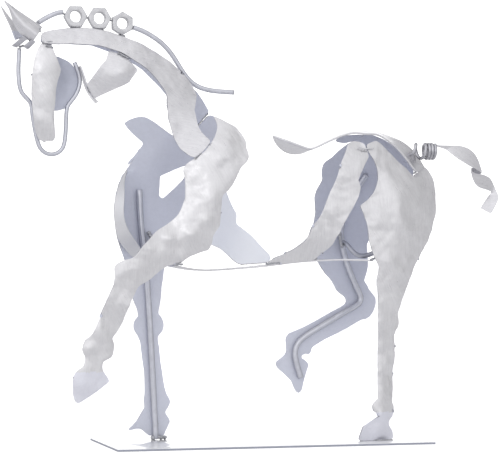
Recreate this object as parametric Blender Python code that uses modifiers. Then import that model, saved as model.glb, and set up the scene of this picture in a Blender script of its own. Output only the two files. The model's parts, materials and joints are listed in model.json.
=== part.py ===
"""Metal horse statue: cut, bent and welded sheet steel on a flat base plate.

Metres, +Z up. The head is toward -X, the tail toward +X. The near side of the
horse is -Y and the far side is +Y. The origin is the centre of the underside of
the base plate. Sizes are in millimetres. Outlines, routes and depths of the horse
are drawn once, in the (x, z) plane as the sheet is seen from its side, and keep
their proportions as shares of HORSE_HEIGHT. A depth is the distance of a sheet
from the middle plane of the horse. Stock sizes, weld gaps, nuts, strips and the
plate have their own sizes, and stay as they are when the height changes.
"""
import math

import bmesh
import bpy
import numpy as np

MM = 0.001

# Stock: each of these is a size that can be changed by itself.
SHEET = 1.2            # thickness of the body sheets
STRIP = 1.2            # thickness of the back, belly and tail strips
LEG_ROD = 5.0          # diameter of the rods behind the two far legs
MANE_ROD = 4.0         # diameter of the mane rods
BRACE_ROD = 4.0        # diameter of the brace between the hind legs
FACE_WIRE = 3.5        # diameter of the wire round the face
COIL_WIRE = 2.2        # wire of the tail coil
COIL_OUTER = 15.8      # outer diameter of the tail coil
NUT_FLATS = 18.0       # across the flats of a mane nut
NUT_BORE = 10.2        # bore of a mane nut
NUT_HEIGHT = 7.0       # thickness of a mane nut
GAP = 0.35             # weld gap kept between touching pieces
FACET_ROOM = 0.45      # extra room where a rod follows a faceted sheet
CELL = 12.0            # size of the cells in which a sheet is bent, in the drawing

PLATE_LENGTH = 285.0
PLATE_WIDTH = 122.0
PLATE_THICKNESS = 2.0
FLOOR_Z = PLATE_THICKNESS + GAP      # lowest place of anything welded on the plate

HORSE_HEIGHT = 384.15  # from the plate to the tip of the near ear

BELLY_WIDTH = 28.0
BACK_WIDTH = 24.0
TAIL_WIDTH = 12.6
STRAP_WIDTH = 10.0
BACK_SHIFT = -1.0      # the back strip lies a little toward the near side
EDGE_ROOM = 0.65       # room beside the edge of a strip, over its weld gap
WIRE_ROOM = 0.3        # room beside the face wire, over its weld gap
STRAP_ROOM = 0.85      # room beside the throat strap, over its weld gap
ROD_END_ROOM = 0.7     # room between a nut and the end of a mane rod
CREST_TAB_ROOM = 0.5   # room beside the crest tab, over its weld gap
COIL_PITCH_ROOM = 0.35  # room between the tight turns of the coil, over the weld gap

PARTS = "metal_horse_statue"
CUTTERS = "cutters"


def start():
    """Empty the scene and make the two collections."""
    for item in list(bpy.data.objects):
        bpy.data.objects.remove(item, do_unlink=True)
    for name in (PARTS, CUTTERS):
        collection = bpy.data.collections.get(name)
        if collection is None:
            collection = bpy.data.collections.new(name)
            bpy.context.scene.collection.children.link(collection)


def material(name, colour, metallic=0.85, roughness=0.38):
    """A plain steel material."""
    mat = bpy.data.materials.get(name) or bpy.data.materials.new(name)
    mat.use_nodes = True
    shader = mat.node_tree.nodes["Principled BSDF"]
    shader.inputs["Base Color"].default_value = (*colour, 1.0)
    shader.inputs["Metallic"].default_value = metallic
    shader.inputs["Roughness"].default_value = roughness
    return mat


def add(name, data, mat, collection=PARTS):
    """Put an object in its collection, with its own material."""
    item = bpy.data.objects.new(name, data)
    bpy.data.collections[collection].objects.link(item)
    data.materials.append(mat)
    return item


def thicken(item, thickness):
    """Give an open sheet its thickness, half to each side."""
    shell = item.modifiers.new("thickness", "SOLIDIFY")
    shell.thickness = thickness * MM
    shell.offset = 0.0
    shell.use_even_offset = False


def smooth_rows(rows, step):
    """Points along a smooth curve through the rows, at most step apart."""
    rows = [np.array(row, float) for row in rows]
    padded = [2 * rows[0] - rows[1]] + rows + [2 * rows[-1] - rows[-2]]
    out = []
    for i in range(1, len(padded) - 2):
        a, b, c, d = padded[i - 1:i + 3]
        count = max(1, math.ceil(np.linalg.norm((c - b)[:3]) / step))
        for k in range(count):
            t = k / count
            out.append(0.5 * ((2 * b) + (c - a) * t + (2 * a - 5 * b + 4 * c - d) * t * t
                              + (3 * b - a - 3 * c + d) * t ** 3))
    out.append(rows[-1])
    return out


def nearest(line, x, z):
    """Distance to a line of (x, z, value) rows, the side of it, and the value there."""
    best = None
    for a, b in zip(line, line[1:]):
        dx, dz = b[0] - a[0], b[1] - a[1]
        t = ((x - a[0]) * dx + (z - a[1]) * dz) / (dx * dx + dz * dz)
        t = min(1.0, max(0.0, t))
        away = math.hypot(x - a[0] - t * dx, z - a[1] - t * dz)
        if best is None or away < best[0]:
            side = 1.0 if dx * (z - a[1]) - dz * (x - a[0]) > 0 else -1.0
            best = (away, side, a[2] + (b[2] - a[2]) * t)
    return best


class Surface:
    """A bent sheet: its depth over (x, z), from a few knots and a few folds."""

    def __init__(self, knots, folds=()):
        """Knots are (x, z, depth). A fold is (line, front slope, rear slope, reach)."""
        self.places = np.array([knot[:2] for knot in knots], float)
        count = len(knots)
        system = np.zeros((count + 3, count + 3))
        away = np.linalg.norm(self.places[:, None] - self.places[None], axis=2)
        system[:count, :count] = self.kernel(away) + 30.0 * np.eye(count)
        system[:count, count] = 1.0
        system[:count, count + 1:] = self.places
        system[count:, :count] = system[:count, count:].T
        wanted = np.zeros(count + 3)
        wanted[:count] = [knot[2] for knot in knots]
        self.weights = np.linalg.solve(system, wanted)
        self.folds = folds

    @staticmethod
    def kernel(away):
        """Thin plate kernel, which bends like sheet metal."""
        return away ** 2 * np.log(np.maximum(away, 1e-6))

    def depth(self, x, z):
        """Distance from the middle plane in millimetres, at (x, z) of the drawing."""
        away = np.hypot(self.places[:, 0] - x, self.places[:, 1] - z)
        count = len(self.places)
        value = float(self.kernel(away) @ self.weights[:count])
        value += self.weights[count] + self.weights[count + 1] * x + self.weights[count + 2] * z
        for line, front, rear, reach in self.folds:
            away, side, strength = nearest(line, x, z)
            slope = rear if side > 0 else front
            value -= slope * min(away, reach) * strength
        return value * SHARE


def bent_sheet(name, outline, surface, side, mat, thickness=SHEET, cell=CELL, limit=None):
    """Cut the outline from sheet, divide it into cells and bend it to its surface."""
    grid = bmesh.new()
    face = grid.faces.new([grid.verts.new((x * MM, 0.0, z * MM)) for x, z in outline])
    if face.normal.dot((0, side, 0)) < 0:
        face.normal_flip()
    for axis, normal in ((0, (1, 0, 0)), (1, (0, 0, 1))):
        low = min(point[axis] for point in outline)
        high = max(point[axis] for point in outline)
        count = max(1, round((high - low) / cell))
        for k in range(1, count):
            place = (low + (high - low) * k / count) * MM
            everything = grid.verts[:] + grid.edges[:] + grid.faces[:]
            bmesh.ops.bisect_plane(grid, geom=everything, plane_co=(place, 0, place),
                                   plane_no=normal, dist=1e-7)
    bmesh.ops.remove_doubles(grid, verts=grid.verts, dist=0.00002)
    for vert in grid.verts:
        x, z = vert.co.x / MM, vert.co.z / MM
        depth = surface.depth(x, z)
        if limit is not None:
            depth = limit(x, z, depth)
        vert.co = [value * MM for value in at(x, side * depth, z)]
    bmesh.ops.recalc_face_normals(grid, faces=grid.faces)
    mesh = bpy.data.meshes.new(name)
    grid.to_mesh(mesh)
    grid.free()
    item = add(name, mesh, mat)
    thicken(item, thickness)
    return item


def ribbon(name, rows, mat, thickness=STRIP, step=6.0, across=2):
    """A strip along rows of (x, y, z, half vector): a grid laid on the path."""
    rows = smooth_rows(rows, step)
    strip = bmesh.new()
    bmesh.ops.create_grid(strip, x_segments=len(rows) - 1, y_segments=across, size=1.0)
    for vert in strip.verts:
        index = round((vert.co.x + 1.0) / 2.0 * (len(rows) - 1))
        row = rows[index]
        vert.co = [(row[i] + row[i + 3] * vert.co.y) * MM for i in range(3)]
    bmesh.ops.recalc_face_normals(strip, faces=strip.faces)
    mesh = bpy.data.meshes.new(name)
    strip.to_mesh(mesh)
    strip.free()
    item = add(name, mesh, mat)
    thicken(item, thickness)
    return item


def rod(name, points, diameter, mat, sides=3, step=None):
    """A round bar along the points, with closed flat ends."""
    if step:
        points = [row[:3] for row in smooth_rows(points, step)]
    curve = bpy.data.curves.new(name, "CURVE")
    curve.dimensions = "3D"
    curve.bevel_depth = diameter / 2 * MM
    curve.bevel_resolution = sides
    curve.use_fill_caps = True
    spline = curve.splines.new("POLY")
    spline.points.add(len(points) - 1)
    for target, point in zip(spline.points, points):
        target.co = (point[0] * MM, point[1] * MM, point[2] * MM, 1.0)
    item = add(name, curve, mat)
    return item


def prism(name, outline, y_low, y_high, mat, collection=PARTS):
    """A flat outline with straight sides from y_low to y_high."""
    solid = bmesh.new()
    face = solid.faces.new([solid.verts.new((x * MM, y_low * MM, z * MM)) for x, z in outline])
    pushed = bmesh.ops.extrude_face_region(solid, geom=[face])
    moved = [part for part in pushed["geom"] if isinstance(part, bmesh.types.BMVert)]
    bmesh.ops.translate(solid, verts=moved, vec=(0, (y_high - y_low) * MM, 0))
    bmesh.ops.recalc_face_normals(solid, faces=solid.faces)
    mesh = bpy.data.meshes.new(name)
    solid.to_mesh(mesh)
    solid.free()
    item = add(name, mesh, mat, collection)
    if collection == CUTTERS:
        item.hide_render = True
        item.display_type = "WIRE"
    return item


def cut(item, cutter):
    """Take the cutter out of the item."""
    bore = item.modifiers.new("cut", "BOOLEAN")
    bore.operation = "DIFFERENCE"
    bore.solver = "EXACT"
    bore.object = cutter


# Outlines of the sheets, each point placed by eye on the shape that it cuts.

NEAR_FRONT_OUTLINE = [
    (-49, 289.5), (-42, 286), (-34, 281.5), (-28.5, 278.5), (-25, 274.5), (-22, 270),
    (-20.5, 264.5), (-21.5, 261), (-20, 257), (-19.5, 252), (-21.5, 248), (-27, 243.5),
    (-30, 238), (-32, 233.5), (-36, 226.5), (-40, 222.5), (-44, 219), (-45.5, 217),
    (-46, 212), (-46.3, 205), (-46.7, 196), (-47.3, 191), (-51, 187), (-53.5, 183),
    (-53.5, 177), (-55, 173), (-56.5, 170.5), (-63, 168.5), (-73, 165.5), (-78, 162),
    (-81, 159.3), (-85.6, 158.5), (-91.2, 157.5), (-96.8, 154.5), (-102.3, 150.5),
    (-106.8, 146.5), (-111, 143.5), (-116.8, 140.5), (-120, 137.5), (-122, 132.5),
    (-124.8, 127.5), (-128, 120), (-129.7, 115.5), (-131.8, 108), (-135, 102.5),
    (-138.3, 98), (-140.8, 94.5), (-139.2, 91), (-138.7, 86), (-139.7, 81.5),
    (-141.7, 78), (-146, 76.5), (-149.3, 74.5), (-150, 71), (-149.3, 67),
    (-145.5, 62), (-143.3, 58.5), (-144.5, 56.5), (-157, 47.5), (-170, 39.5),
    (-172.5, 40), (-174.2, 43), (-175.5, 49), (-175.8, 56.5), (-175, 63),
    (-173, 66.5), (-170, 69), (-166.5, 70.5), (-165.5, 74.5), (-164.7, 79.5),
    (-166, 81.5), (-167.5, 85), (-166.5, 90.5), (-164.5, 94), (-161, 96.5),
    (-157.5, 100), (-154.8, 106.5), (-151.5, 115), (-148.3, 123.5), (-144, 133),
    (-140, 141.5), (-139.5, 147), (-140, 154.5), (-139, 157.5), (-136, 160),
    (-131, 162), (-124, 163.5), (-120, 167.5), (-115, 174.5), (-111, 178),
    (-104.5, 185), (-100, 188), (-93.5, 192), (-83.5, 200), (-80, 207),
    (-77, 215), (-76, 225), (-76, 232), (-77.5, 240), (-74, 246),
    (-69, 249), (-64, 252), (-58.5, 256.5), (-53.5, 263), (-48.5, 270),
    (-45.5, 278), (-45.5, 283)]

NEAR_REAR_OUTLINE = [
    (95.7, 266.7), (100.4, 269), (105.1, 266.9), (109.8, 262.5), (116.5, 256.3),
    (124, 250.1), (130.2, 243.9), (134, 240), (137.5, 236.3), (139.6, 239.6),
    (146.5, 241.2), (154, 243.2), (157.4, 236), (160.3, 225.1), (161.6, 211.6),
    (160.4, 202.6), (157, 190.8), (152.3, 180), (145.5, 171), (139.9, 162.1),
    (133.4, 153.1), (129, 142.3), (124.7, 133.4), (121.2, 126.2), (118.5, 114.9),
    (119.9, 110.4), (120.8, 106), (119.4, 101.5), (117, 99.8), (115.1, 95.3),
    (114.7, 86.5), (114.2, 55.4), (113.2, 42.1), (112.9, 35.9), (115.1, 31.4),
    (115.1, 26.9), (114.1, 22.5), (109.4, 19.5), (109.4, 15.5), (113.2, 11),
    (114.1, 4.8), (113, 2.35), (79.5, 2.35), (78.6, 4.7), (81.4, 10.8),
    (82.3, 14.3), (86, 16.9), (90.7, 20.8), (95.4, 22.5), (96.8, 25.1),
    (95.4, 27.3), (92.6, 28.3), (92.1, 32.7), (94.5, 36.2), (98.2, 39.2),
    (98.2, 64.5), (98.7, 108.8), (97.8, 126.5), (97.8, 133.6), (96, 139.8),
    (96.5, 146), (99, 155.8), (95, 162.9), (91.3, 172.7), (89.4, 179.8),
    (88.9, 188.7), (87.6, 195.8), (84.8, 203.8), (82, 210), (85.7, 212.7),
    (90.4, 216.3), (95.1, 221.6), (97.9, 227), (99.8, 233.3), (100.3, 239.5),
    (98.8, 245.7), (96.5, 252.8), (93.5, 256.6), (91.6, 261), (91.2, 265.5)]

FLANK_OUTLINE = [
    (74, 265.5), (80, 268), (86, 267.6), (90.4, 265.5), (90.8, 261), (92.4, 256.6),
    (92.8, 253.5), (88.5, 248), (85.2, 242), (82.5, 237), (81, 233), (82.5, 229),
    (83.5, 226), (81, 218), (78, 212), (75, 207), (70, 198), (66, 191),
    (65, 187.5), (61.5, 182), (59, 176), (52, 169), (46, 163.7), (44, 161.5),
    (29, 160), (13.6, 158.2), (-1.5, 156.8), (7.5, 164.3), (11.5, 165.3), (17.5, 168.3),
    (23, 170.8), (27.8, 173.8), (32, 177.3), (35.6, 181.8), (39.5, 189.8),
    (41.3, 193.3), (44.5, 197), (48, 203), (50.5, 209), (53, 216), (56, 223),
    (59, 229), (62, 236), (64.2, 244), (66.5, 250), (70.5, 257), (72.5, 262)]

FAR_FRONT_OUTLINE = [
    (-119, 283.5), (-113.5, 287.5), (-106, 289.5), (-100, 289.5), (-91, 284),
    (-81, 276.5), (-73.5, 271.5), (-66, 273), (-57, 278), (-50, 285.5), (-44.5, 292),
    (-38, 290), (-32, 283), (-27, 273), (-25, 260), (-28, 245), (-35, 230),
    (-43, 215), (-50, 200), (-57, 188), (-68, 177), (-77, 166), (-80.5, 153),
    (-81, 145), (-82.5, 138), (-83, 130), (-84.5, 120), (-86, 114.5), (-83, 111),
    (-81, 107), (-80.5, 103), (-82, 98), (-85.5, 94.5), (-86, 92), (-85, 85),
    (-83.5, 70), (-81.5, 58), (-80, 48), (-78, 42), (-75.5, 38), (-74.3, 34.5),
    (-76.5, 30), (-79.5, 26), (-78, 23), (-75.5, 20), (-75, 17), (-77, 12),
    (-79.5, 8), (-79.8, 5), (-94, 5), (-98, 8), (-101.5, 11.5), (-106, 11.3),
    (-112.5, 9.8), (-113, 11.5), (-110, 13.5), (-105, 19), (-101, 26), (-98, 30.5),
    (-99, 37), (-98, 42), (-98, 50), (-98.5, 62), (-100.5, 75), (-102, 88),
    (-103, 91), (-105, 95), (-108, 100), (-108.5, 105), (-107, 108.5), (-104, 112),
    (-105, 118), (-109, 127), (-113, 145), (-117, 162), (-119, 165), (-122.5, 170),
    (-126, 180), (-128, 190), (-129, 200), (-129, 210), (-127, 220), (-123.5, 230),
    (-119, 237), (-114, 244.5), (-114, 250), (-109, 254), (-105, 259.5),
    (-101, 264.5), (-101, 267), (-111, 275)]

CHEST_WINDOW = [
    (-84, 237.5), (-84, 228), (-84.5, 220), (-82, 217.5), (-80, 218), (-70, 227),
    (-61, 236), (-60, 248.5), (-70, 244)]

RIB_OUTLINE = [
    (-26, 231), (-19.5, 213), (-14.8, 203), (-16, 197), (-15.5, 194), (-4, 184),
    (6, 171), (11, 166), (10, 159.6), (-19, 158), (-24, 162), (-33, 172.5),
    (-40, 176), (-50, 186), (-52, 200), (-46, 216)]

FAR_REAR_OUTLINE = [
    (93.2, 271.2), (100, 276.4), (110, 275.6), (120, 272), (131, 265), (141, 255.6),
    (149, 244), (147, 230), (138, 214), (127, 200), (116, 188), (110.5, 176),
    (111.5, 162), (111.5, 156), (110, 149), (108, 144), (108.5, 142), (111, 139),
    (113, 134.5), (116, 131), (119, 127.5), (119, 122), (117, 115), (113, 110),
    (109, 107.5), (105, 107.5), (92, 100), (80, 94), (70, 89.5), (62, 85),
    (57.5, 82), (57, 80), (56.5, 77.5), (54.5, 76), (51, 76.5), (48, 75),
    (47.5, 73), (50, 71.5), (53.5, 69), (54.5, 66), (53, 62), (51, 56),
    (49, 49), (48, 44), (46, 41), (44, 41), (42, 43), (40, 47),
    (38, 52), (33, 57), (25, 64), (23, 67.5), (24, 70.5), (28, 72.5),
    (31.5, 76), (33.5, 79), (33, 84), (32.5, 90), (33.5, 93), (36, 95.5),
    (40, 97), (50, 101), (60, 106), (75, 114), (85, 119), (89.5, 122),
    (90.5, 124.5), (90, 127), (88.5, 129), (84, 132), (81, 135), (78.5, 140),
    (76, 144), (70, 150), (66, 156), (63, 161), (59, 172), (57.5, 186),
    (60, 198.6), (61, 205.9), (59.6, 219.6), (61.5, 226), (65.3, 232.4),
    (67.2, 236.1), (65.8, 239.8), (65.8, 246.2), (67.2, 250.8), (73.9, 255.4),
    (78.7, 261), (86.4, 267.5)]

NEAR_NECK_OUTLINE = [
    (-199.2, 359), (-190.5, 361.2), (-177.5, 363.3), (-164, 364.2), (-150.5, 363.2),
    (-137.5, 361.2), (-124.5, 357.2), (-111, 352.2), (-97.5, 345.6), (-83.6, 336.2),
    (-76, 329.4), (-65.2, 317.4), (-60.6, 307.5), (-64.5, 293.5), (-63, 280.5),
    (-61, 275), (-57, 270), (-52.2, 266.2), (-54.3, 263.3), (-59.2, 257.2),
    (-64.5, 252.8), (-69, 250.2), (-79.8, 259), (-84.5, 268), (-87.5, 277.5),
    (-89.5, 286), (-90, 297.5), (-89.5, 304.5), (-91, 309), (-97.5, 319),
    (-104.5, 327), (-113.5, 333.5), (-131, 343.5), (-149, 348.5), (-166.5, 349.5),
    (-184, 349), (-198.4, 349)]

FAR_NECK_OUTLINE = [
    (-197.5, 359), (-190.5, 361.2), (-177.5, 363.3), (-164, 364.2), (-150.5, 363.2),
    (-137.5, 361.2), (-124.5, 357.2), (-111, 352.2), (-97.5, 345.6), (-83.6, 336.2),
    (-76, 329.4), (-65.5, 318), (-57.5, 311.5), (-51, 304), (-45, 295.5),
    (-45.3, 293.2), (-50.8, 286.6), (-57.6, 279.2), (-66.2, 274.2), (-74, 272.8),
    (-78, 284), (-81, 296), (-83, 307.7), (-89, 314.7), (-98, 323.3),
    (-107, 331.6), (-121, 339.5), (-136, 345.4), (-152, 350.4), (-184, 351),
    (-197.5, 351)]

THROAT_OUTLINE = [
    (-141, 341.9), (-142.8, 335.7), (-147.3, 331.3), (-152.9, 323.3), (-157.3, 317.1),
    (-159.3, 314.9), (-158.8, 313.6), (-154.4, 305.9), (-152, 302.5), (-144, 306.6),
    (-135.2, 310.7), (-126.3, 314.8), (-122.3, 317.1), (-118.7, 322.4), (-114.3, 327.7),
    (-125, 338.4), (-130.3, 341.3), (-138.9, 345.8)]

FACE_OUTLINE = [
    (-195.5, 351.5), (-190.5, 352), (-189.4, 346.5), (-187.4, 341.5), (-184, 332.5),
    (-181.8, 327), (-182.8, 322.5), (-184.8, 317.5), (-186.4, 310.5), (-187.3, 296),
    (-188, 291.5), (-188, 283.5), (-187.2, 275), (-186.4, 268), (-188.4, 265),
    (-197, 265), (-200.5, 266), (-202.5, 271), (-204, 277), (-205.2, 285),
    (-206.4, 295.5), (-207, 304), (-207, 312.5), (-206.6, 321), (-205.5, 329.5),
    (-204.3, 336), (-203, 341), (-201, 345.5), (-199, 349)]

CHEEK_OUTLINE = [
    (-183.3, 339.5), (-173.8, 335.5), (-168.8, 331.5), (-164.3, 322.5), (-163.8, 314),
    (-165.8, 306.5), (-169.4, 301), (-173.8, 295.5), (-177.8, 293.5), (-184.3, 291.5),
    (-194, 294), (-201, 301), (-204.5, 311), (-204, 322), (-199.5, 332), (-192, 338)]

NEAR_EAR_OUTLINE = [
    (-230.9, 386.5), (-221.4, 379.5), (-211.4, 374), (-204.4, 369.5), (-198.6, 364.8),
    (-200.0, 362.0), (-200.4, 359.4), (-205.4, 354.0), (-211, 357.5), (-217, 364),
    (-222, 371.5), (-227, 380)]

FAR_EAR_OUTLINE = [
    (-231.6, 381), (-226.1, 378.5), (-221.1, 373), (-217, 366), (-213.5, 358),
    (-214.5, 354.5), (-217.3, 354.5), (-220.2, 359.5), (-222.3, 365), (-224.6, 370),
    (-228.5, 376.5)]

LOIN_OUTLINE = [(70.3, 269.2), (81.6, 267.8), (93, 271.3), (93, 275), (82, 275), (76.5, 273.4)]

CREST_OUTLINE = [(-124.5, 343.4), (-119.5, 343.4), (-119.5, 337.6), (-124.5, 337.6)]


# The horse keeps its pose and proportions: what is drawn is turned to millimetres by
# the share that HORSE_HEIGHT is of the drawn height, and stands on the plate.

DRAWN_FLOOR = min(z for _, z in NEAR_REAR_OUTLINE)
DRAWN_TOP = max(z for _, z in NEAR_EAR_OUTLINE)
SHARE = HORSE_HEIGHT / (DRAWN_TOP - DRAWN_FLOOR)


def real(x, z):
    """A place of the drawing, in millimetres."""
    return x * SHARE, FLOOR_Z + (z - DRAWN_FLOOR) * SHARE


def drawn(size):
    """A size in millimetres, in the units of the drawing."""
    return size / SHARE


def at(x, y, z):
    """A point in millimetres, from its place in the drawing and its real y."""
    real_x, real_z = real(x, z)
    return real_x, y, real_z


def laid(rows):
    """Rows of a strip in millimetres, from (x, z) of the drawing, real y and half vector."""
    return [(*at(*row[:3]), *row[3:]) for row in rows]


# Depths, in the units of the drawing, at which a sheet clears a strip or the face wire.

BACK_EDGE = drawn(BACK_WIDTH / 2 + BACK_SHIFT + SHEET / 2 + GAP + EDGE_ROOM)
BELLY_EDGE = drawn(BELLY_WIDTH / 2 + SHEET / 2 + GAP + EDGE_ROOM)
WIRE_EDGE = drawn(FACE_WIRE / 2 + SHEET / 2 + GAP + WIRE_ROOM)
STRAP_EDGE = drawn(STRAP_WIDTH / 2 + SHEET / 2 + GAP + STRAP_ROOM)


# Surfaces of the sheets, in depth from the middle plane.

NEAR_CANNON_FOLD = [(-146, 128, 0.0), (-149, 116, 1.0), (-153, 98, 1.0), (-156, 84, 1.0),
                    (-158, 70, 0.8), (-161, 54, 0.4)]
NEAR_HIND_FOLD = [(106, 128, 0.0), (106, 112, 1.0), (105.5, 60, 1.0), (105, 30, 1.0),
                  (100, 12, 0.3)]
CHEST_FOLD = [(-116, 244, 0.0), (-118, 231, 1.0), (-118, 210, 1.0), (-116.5, 195, 1.0),
              (-110, 182, 1.0), (-101, 172, 0.0)]

near_front = Surface([
    (-47, 290, 17), (-34, 281, 22), (-48, 272, 24), (-22, 268, 31), (-45, 255, 33),
    (-22, 250, 32), (-68, 245, 27), (-45, 232, 38), (-33, 236, 34), (-74, 225, 29),
    (-58, 215, 40), (-45, 210, 35), (-80, 205, 31), (-66, 190, 39), (-53, 178, 34),
    (-92, 190, 30), (-80, 175, 37), (-70, 167, 32), (-108, 172, 36), (-98, 156, 31),
    (-122, 152, 35), (-135, 158, 32), (-118, 142, 31), (-132, 130, 34), (-148, 110, 34),
    (-154, 90, 34), (-160, 66, 34), (-158, 48, 33)],
    [(NEAR_CANNON_FOLD, 0.5, 0.5, 9.0)])

near_rear = Surface([
    (100, 269, 20), (93, 258, 24), (130, 245, 17), (139, 238, 13), (147, 241, 6), (154, 243, 0),
    (160, 222, 6), (160, 200, 10.5), (152, 180, 16), (140, 162, 23), (99, 240, 27),
    (118, 235, 29), (135, 225, 25), (120, 205, 36), (88, 203, 33), (105, 215, 33),
    (108, 178, 37), (128, 180, 32), (93, 170, 35), (98, 148, 35), (116, 150, 36),
    (126, 142, 30), (108, 120, 35), (106, 90, 34), (106, 60, 34), (106, 25, 34),
    (96, 4, 34)],
    [(NEAR_HIND_FOLD, 0.45, 0.45, 9.0)])

flank = Surface([
    (80, 267, 21), (91, 258, 24), (72, 250, 28), (86, 243, 29), (62, 232, 29),
    (78, 218, 31), (52, 208, 28), (68, 198, 31), (38, 184, 25), (58, 178, 26),
    (25, 168, 20), (46, 165, 17), (10, 161, BELLY_EDGE + 0.4), (-1, 158, BELLY_EDGE),
    (30, 160.5, BELLY_EDGE), (44, 162, BELLY_EDGE + 0.2)])

far_front = Surface([
    (-44, 291, 14), (-57, 278, 18), (-74, 271, 22), (-36, 284, 18), (-110, 285, 27),
    (-100, 270, 30), (-30, 262, 30), (-33, 240, 34), (-60, 240, 37), (-90, 245, 35),
    (-118, 232, 35), (-120, 205, 35), (-90, 205, 39), (-55, 205, 37), (-60, 185, 36),
    (-95, 165, 37), (-118, 168, 35), (-95, 130, 36), (-95, 90, 36), (-92, 60, 36),
    (-88, 30, 36), (-95, 8, 36)],
    [(CHEST_FOLD, 1.2, 0.0, 12.0)])

rib = Surface([
    (-46, 215, 39), (-24, 225, 33), (-16, 200, 27), (-47, 192, 38), (-36, 178, 24),
    (-4, 184, 18), (11, 167, 8), (-18, 160, 6), (-28, 168, 13)])

far_rear = Surface([
    (92, 272, BACK_EDGE + 0.9), (110, 274, BACK_EDGE), (130, 264, BACK_EDGE),
    (148, 243, BACK_EDGE), (70, 251, 27),
    (66, 235, 31), (95, 245, 27), (62, 212, 33), (100, 225, 34), (130, 222, 26),
    (115, 200, 33), (85, 205, 37), (60, 185, 35), (108, 170, 34), (85, 165, 36),
    (68, 155, 34), (108, 147, 34), (85, 140, 35), (112, 128, 34), (92, 124, 34),
    (100, 110, 34), (60, 95, 34), (40, 92, 34), (45, 72, 34), (30, 68, 34), (46, 45, 34)])

near_neck = Surface([
    (-190, 359, 3.2), (-190, 350, 7.5), (-150, 361, 3.2), (-150, 349, 10), (-112, 350, 3.2),
    (-108, 332, 13), (-80, 331, 3.2), (-91, 305, 16), (-63, 307, 6), (-75, 310, 11),
    (-66, 290, 15), (-88, 285, 19), (-60, 273, 22), (-80, 262, 22), (-54, 264, 25.5),
    (-68, 252, 26.5)])

far_neck = Surface([
    (-190, 359, 3.2), (-190, 350, 7.5), (-150, 361, 3.2), (-150, 351, 9), (-112, 350, 3.2),
    (-108, 333, 12), (-80, 331, 3.2), (-85, 308, 14), (-60, 312, 6.5), (-70, 300, 12),
    (-46, 295, 13), (-57, 280, 17.5), (-75, 275, 21)])

throat = Surface([
    (-159, 314, STRAP_EDGE), (-152, 304, STRAP_EDGE), (-147, 325, 12.5), (-135, 312, 11), (-128, 322, 14.5),
    (-140, 344, 7.5), (-127, 339, 9.3), (-115, 327, 10.2), (-123, 316, 9)])

face = Surface([
    (-196, 350, 4.5), (-189, 350, 5), (-205, 335, WIRE_EDGE + 0.2), (-183, 328, 6),
    (-196, 330, 10.5), (-207, 305, WIRE_EDGE), (-187, 308, 7), (-197, 305, 12),
    (-205, 280, WIRE_EDGE), (-188, 285, 6.5), (-197, 282, 11), (-200, 266, WIRE_EDGE + 0.1),
    (-188, 267, 5.5), (-194, 268, 7.5)])

cheek = Surface([
    *((x, z, WIRE_EDGE + 0.1) for x, z in (
        (-184, 339), (-165, 328), (-164, 314), (-170, 300), (-184, 292), (-201, 302),
        (-204, 316), (-198, 332))),
    (-184, 315, 10)])

EAR_FOLD_NEAR = [(-226, 380, 1.0), (-208, 362, 1.0)]
EAR_FOLD_FAR = [(-229, 377, 1.0), (-217, 359, 1.0)]
near_ear = Surface([(-231, 386, 9), (-218, 372, 12), (-203, 358, 11), (-212, 357, 11)],
                   [(EAR_FOLD_NEAR, 0.75, 0.75, 9.0)])
far_ear = Surface([(-231, 381, 11), (-222, 368, 13), (-215, 354, 10), (-220, 360, 11)],
                  [(EAR_FOLD_FAR, 0.75, 0.75, 9.0)])

loin = Surface([(70, 269, 10), (81, 268, 11), (93, 271.3, 11.8), (93, 275, 10.6), (77, 273, 10)])


# Routes of the rods and strips, (x, z) in the drawing.

FAR_FORE_ROUTE = [(-103.5, 225), (-102.5, 200), (-101, 185), (-98.5, 162), (-96.3, 140),
                  (-93.8, 100), (-91.5, 60), (-90, 30), (-88.5, DRAWN_FLOOR)]
FAR_HIND_ROUTE = [(107, 240), (100, 228.5), (95, 219), (90, 208), (86, 196), (85, 188),
                  (86, 178), (87.5, 170), (90, 160), (94, 150), (98, 140), (102.5, 131.5),
                  (104, 127), (102.5, 122.5), (96, 118.5), (88, 114.5), (80, 110),
                  (65, 101.5), (50, 93), (43.5, 87.5), (40.5, 81), (40.5, 73),
                  (43, 64), (46, 55)]
BRACE_ENDS = [(86.0, 178.5), (96.2, 169.3)]     # on the far hind rod, on the near thigh
MANE_REAR_ROUTE = [(-94, 355.5), (-86, 348.5), (-79.8, 340.6), (-74.2, 331.8), (-68.2, 323.4),
                   (-61.2, 317.2), (-51.5, 313.2), (-39.5, 311.6), (-25, 311)]
MANE_FRONT_ROUTE = [(-201, 367.5), (-195, 371.5), (-188.5, 375)]
FACE_ROUTE = [(-217, 345), (-217.5, 335), (-218, 326), (-217.3, 315), (-216, 308.5),
              (-213.5, 304.8), (-209.5, 301), (-207, 298), (-206, 294), (-205.5, 287),
              (-204, 279), (-202.5, 270.5), (-200.3, 262), (-198, 257.5), (-193.5, 254.2),
              (-188, 253.2), (-182, 255.3), (-178, 260), (-176.7, 268), (-176, 280),
              (-175.8, 293), (-174.2, 297.2), (-170, 302), (-166, 308), (-163.8, 315),
              (-164, 321), (-165.8, 327), (-168.6, 334)]
FIRST_NUT = [(-168.0, 0.0)]         # place along the crest
NUT_ROW = [(0.0, 1.05, 0.0), (0.25, 1.45, 0.0), (1.1, 1.0, 30.0)]   # space before, seat, turn
COIL_START = [(138.9, 261.2)]       # start of the coil on the back strip, at its axis


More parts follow.
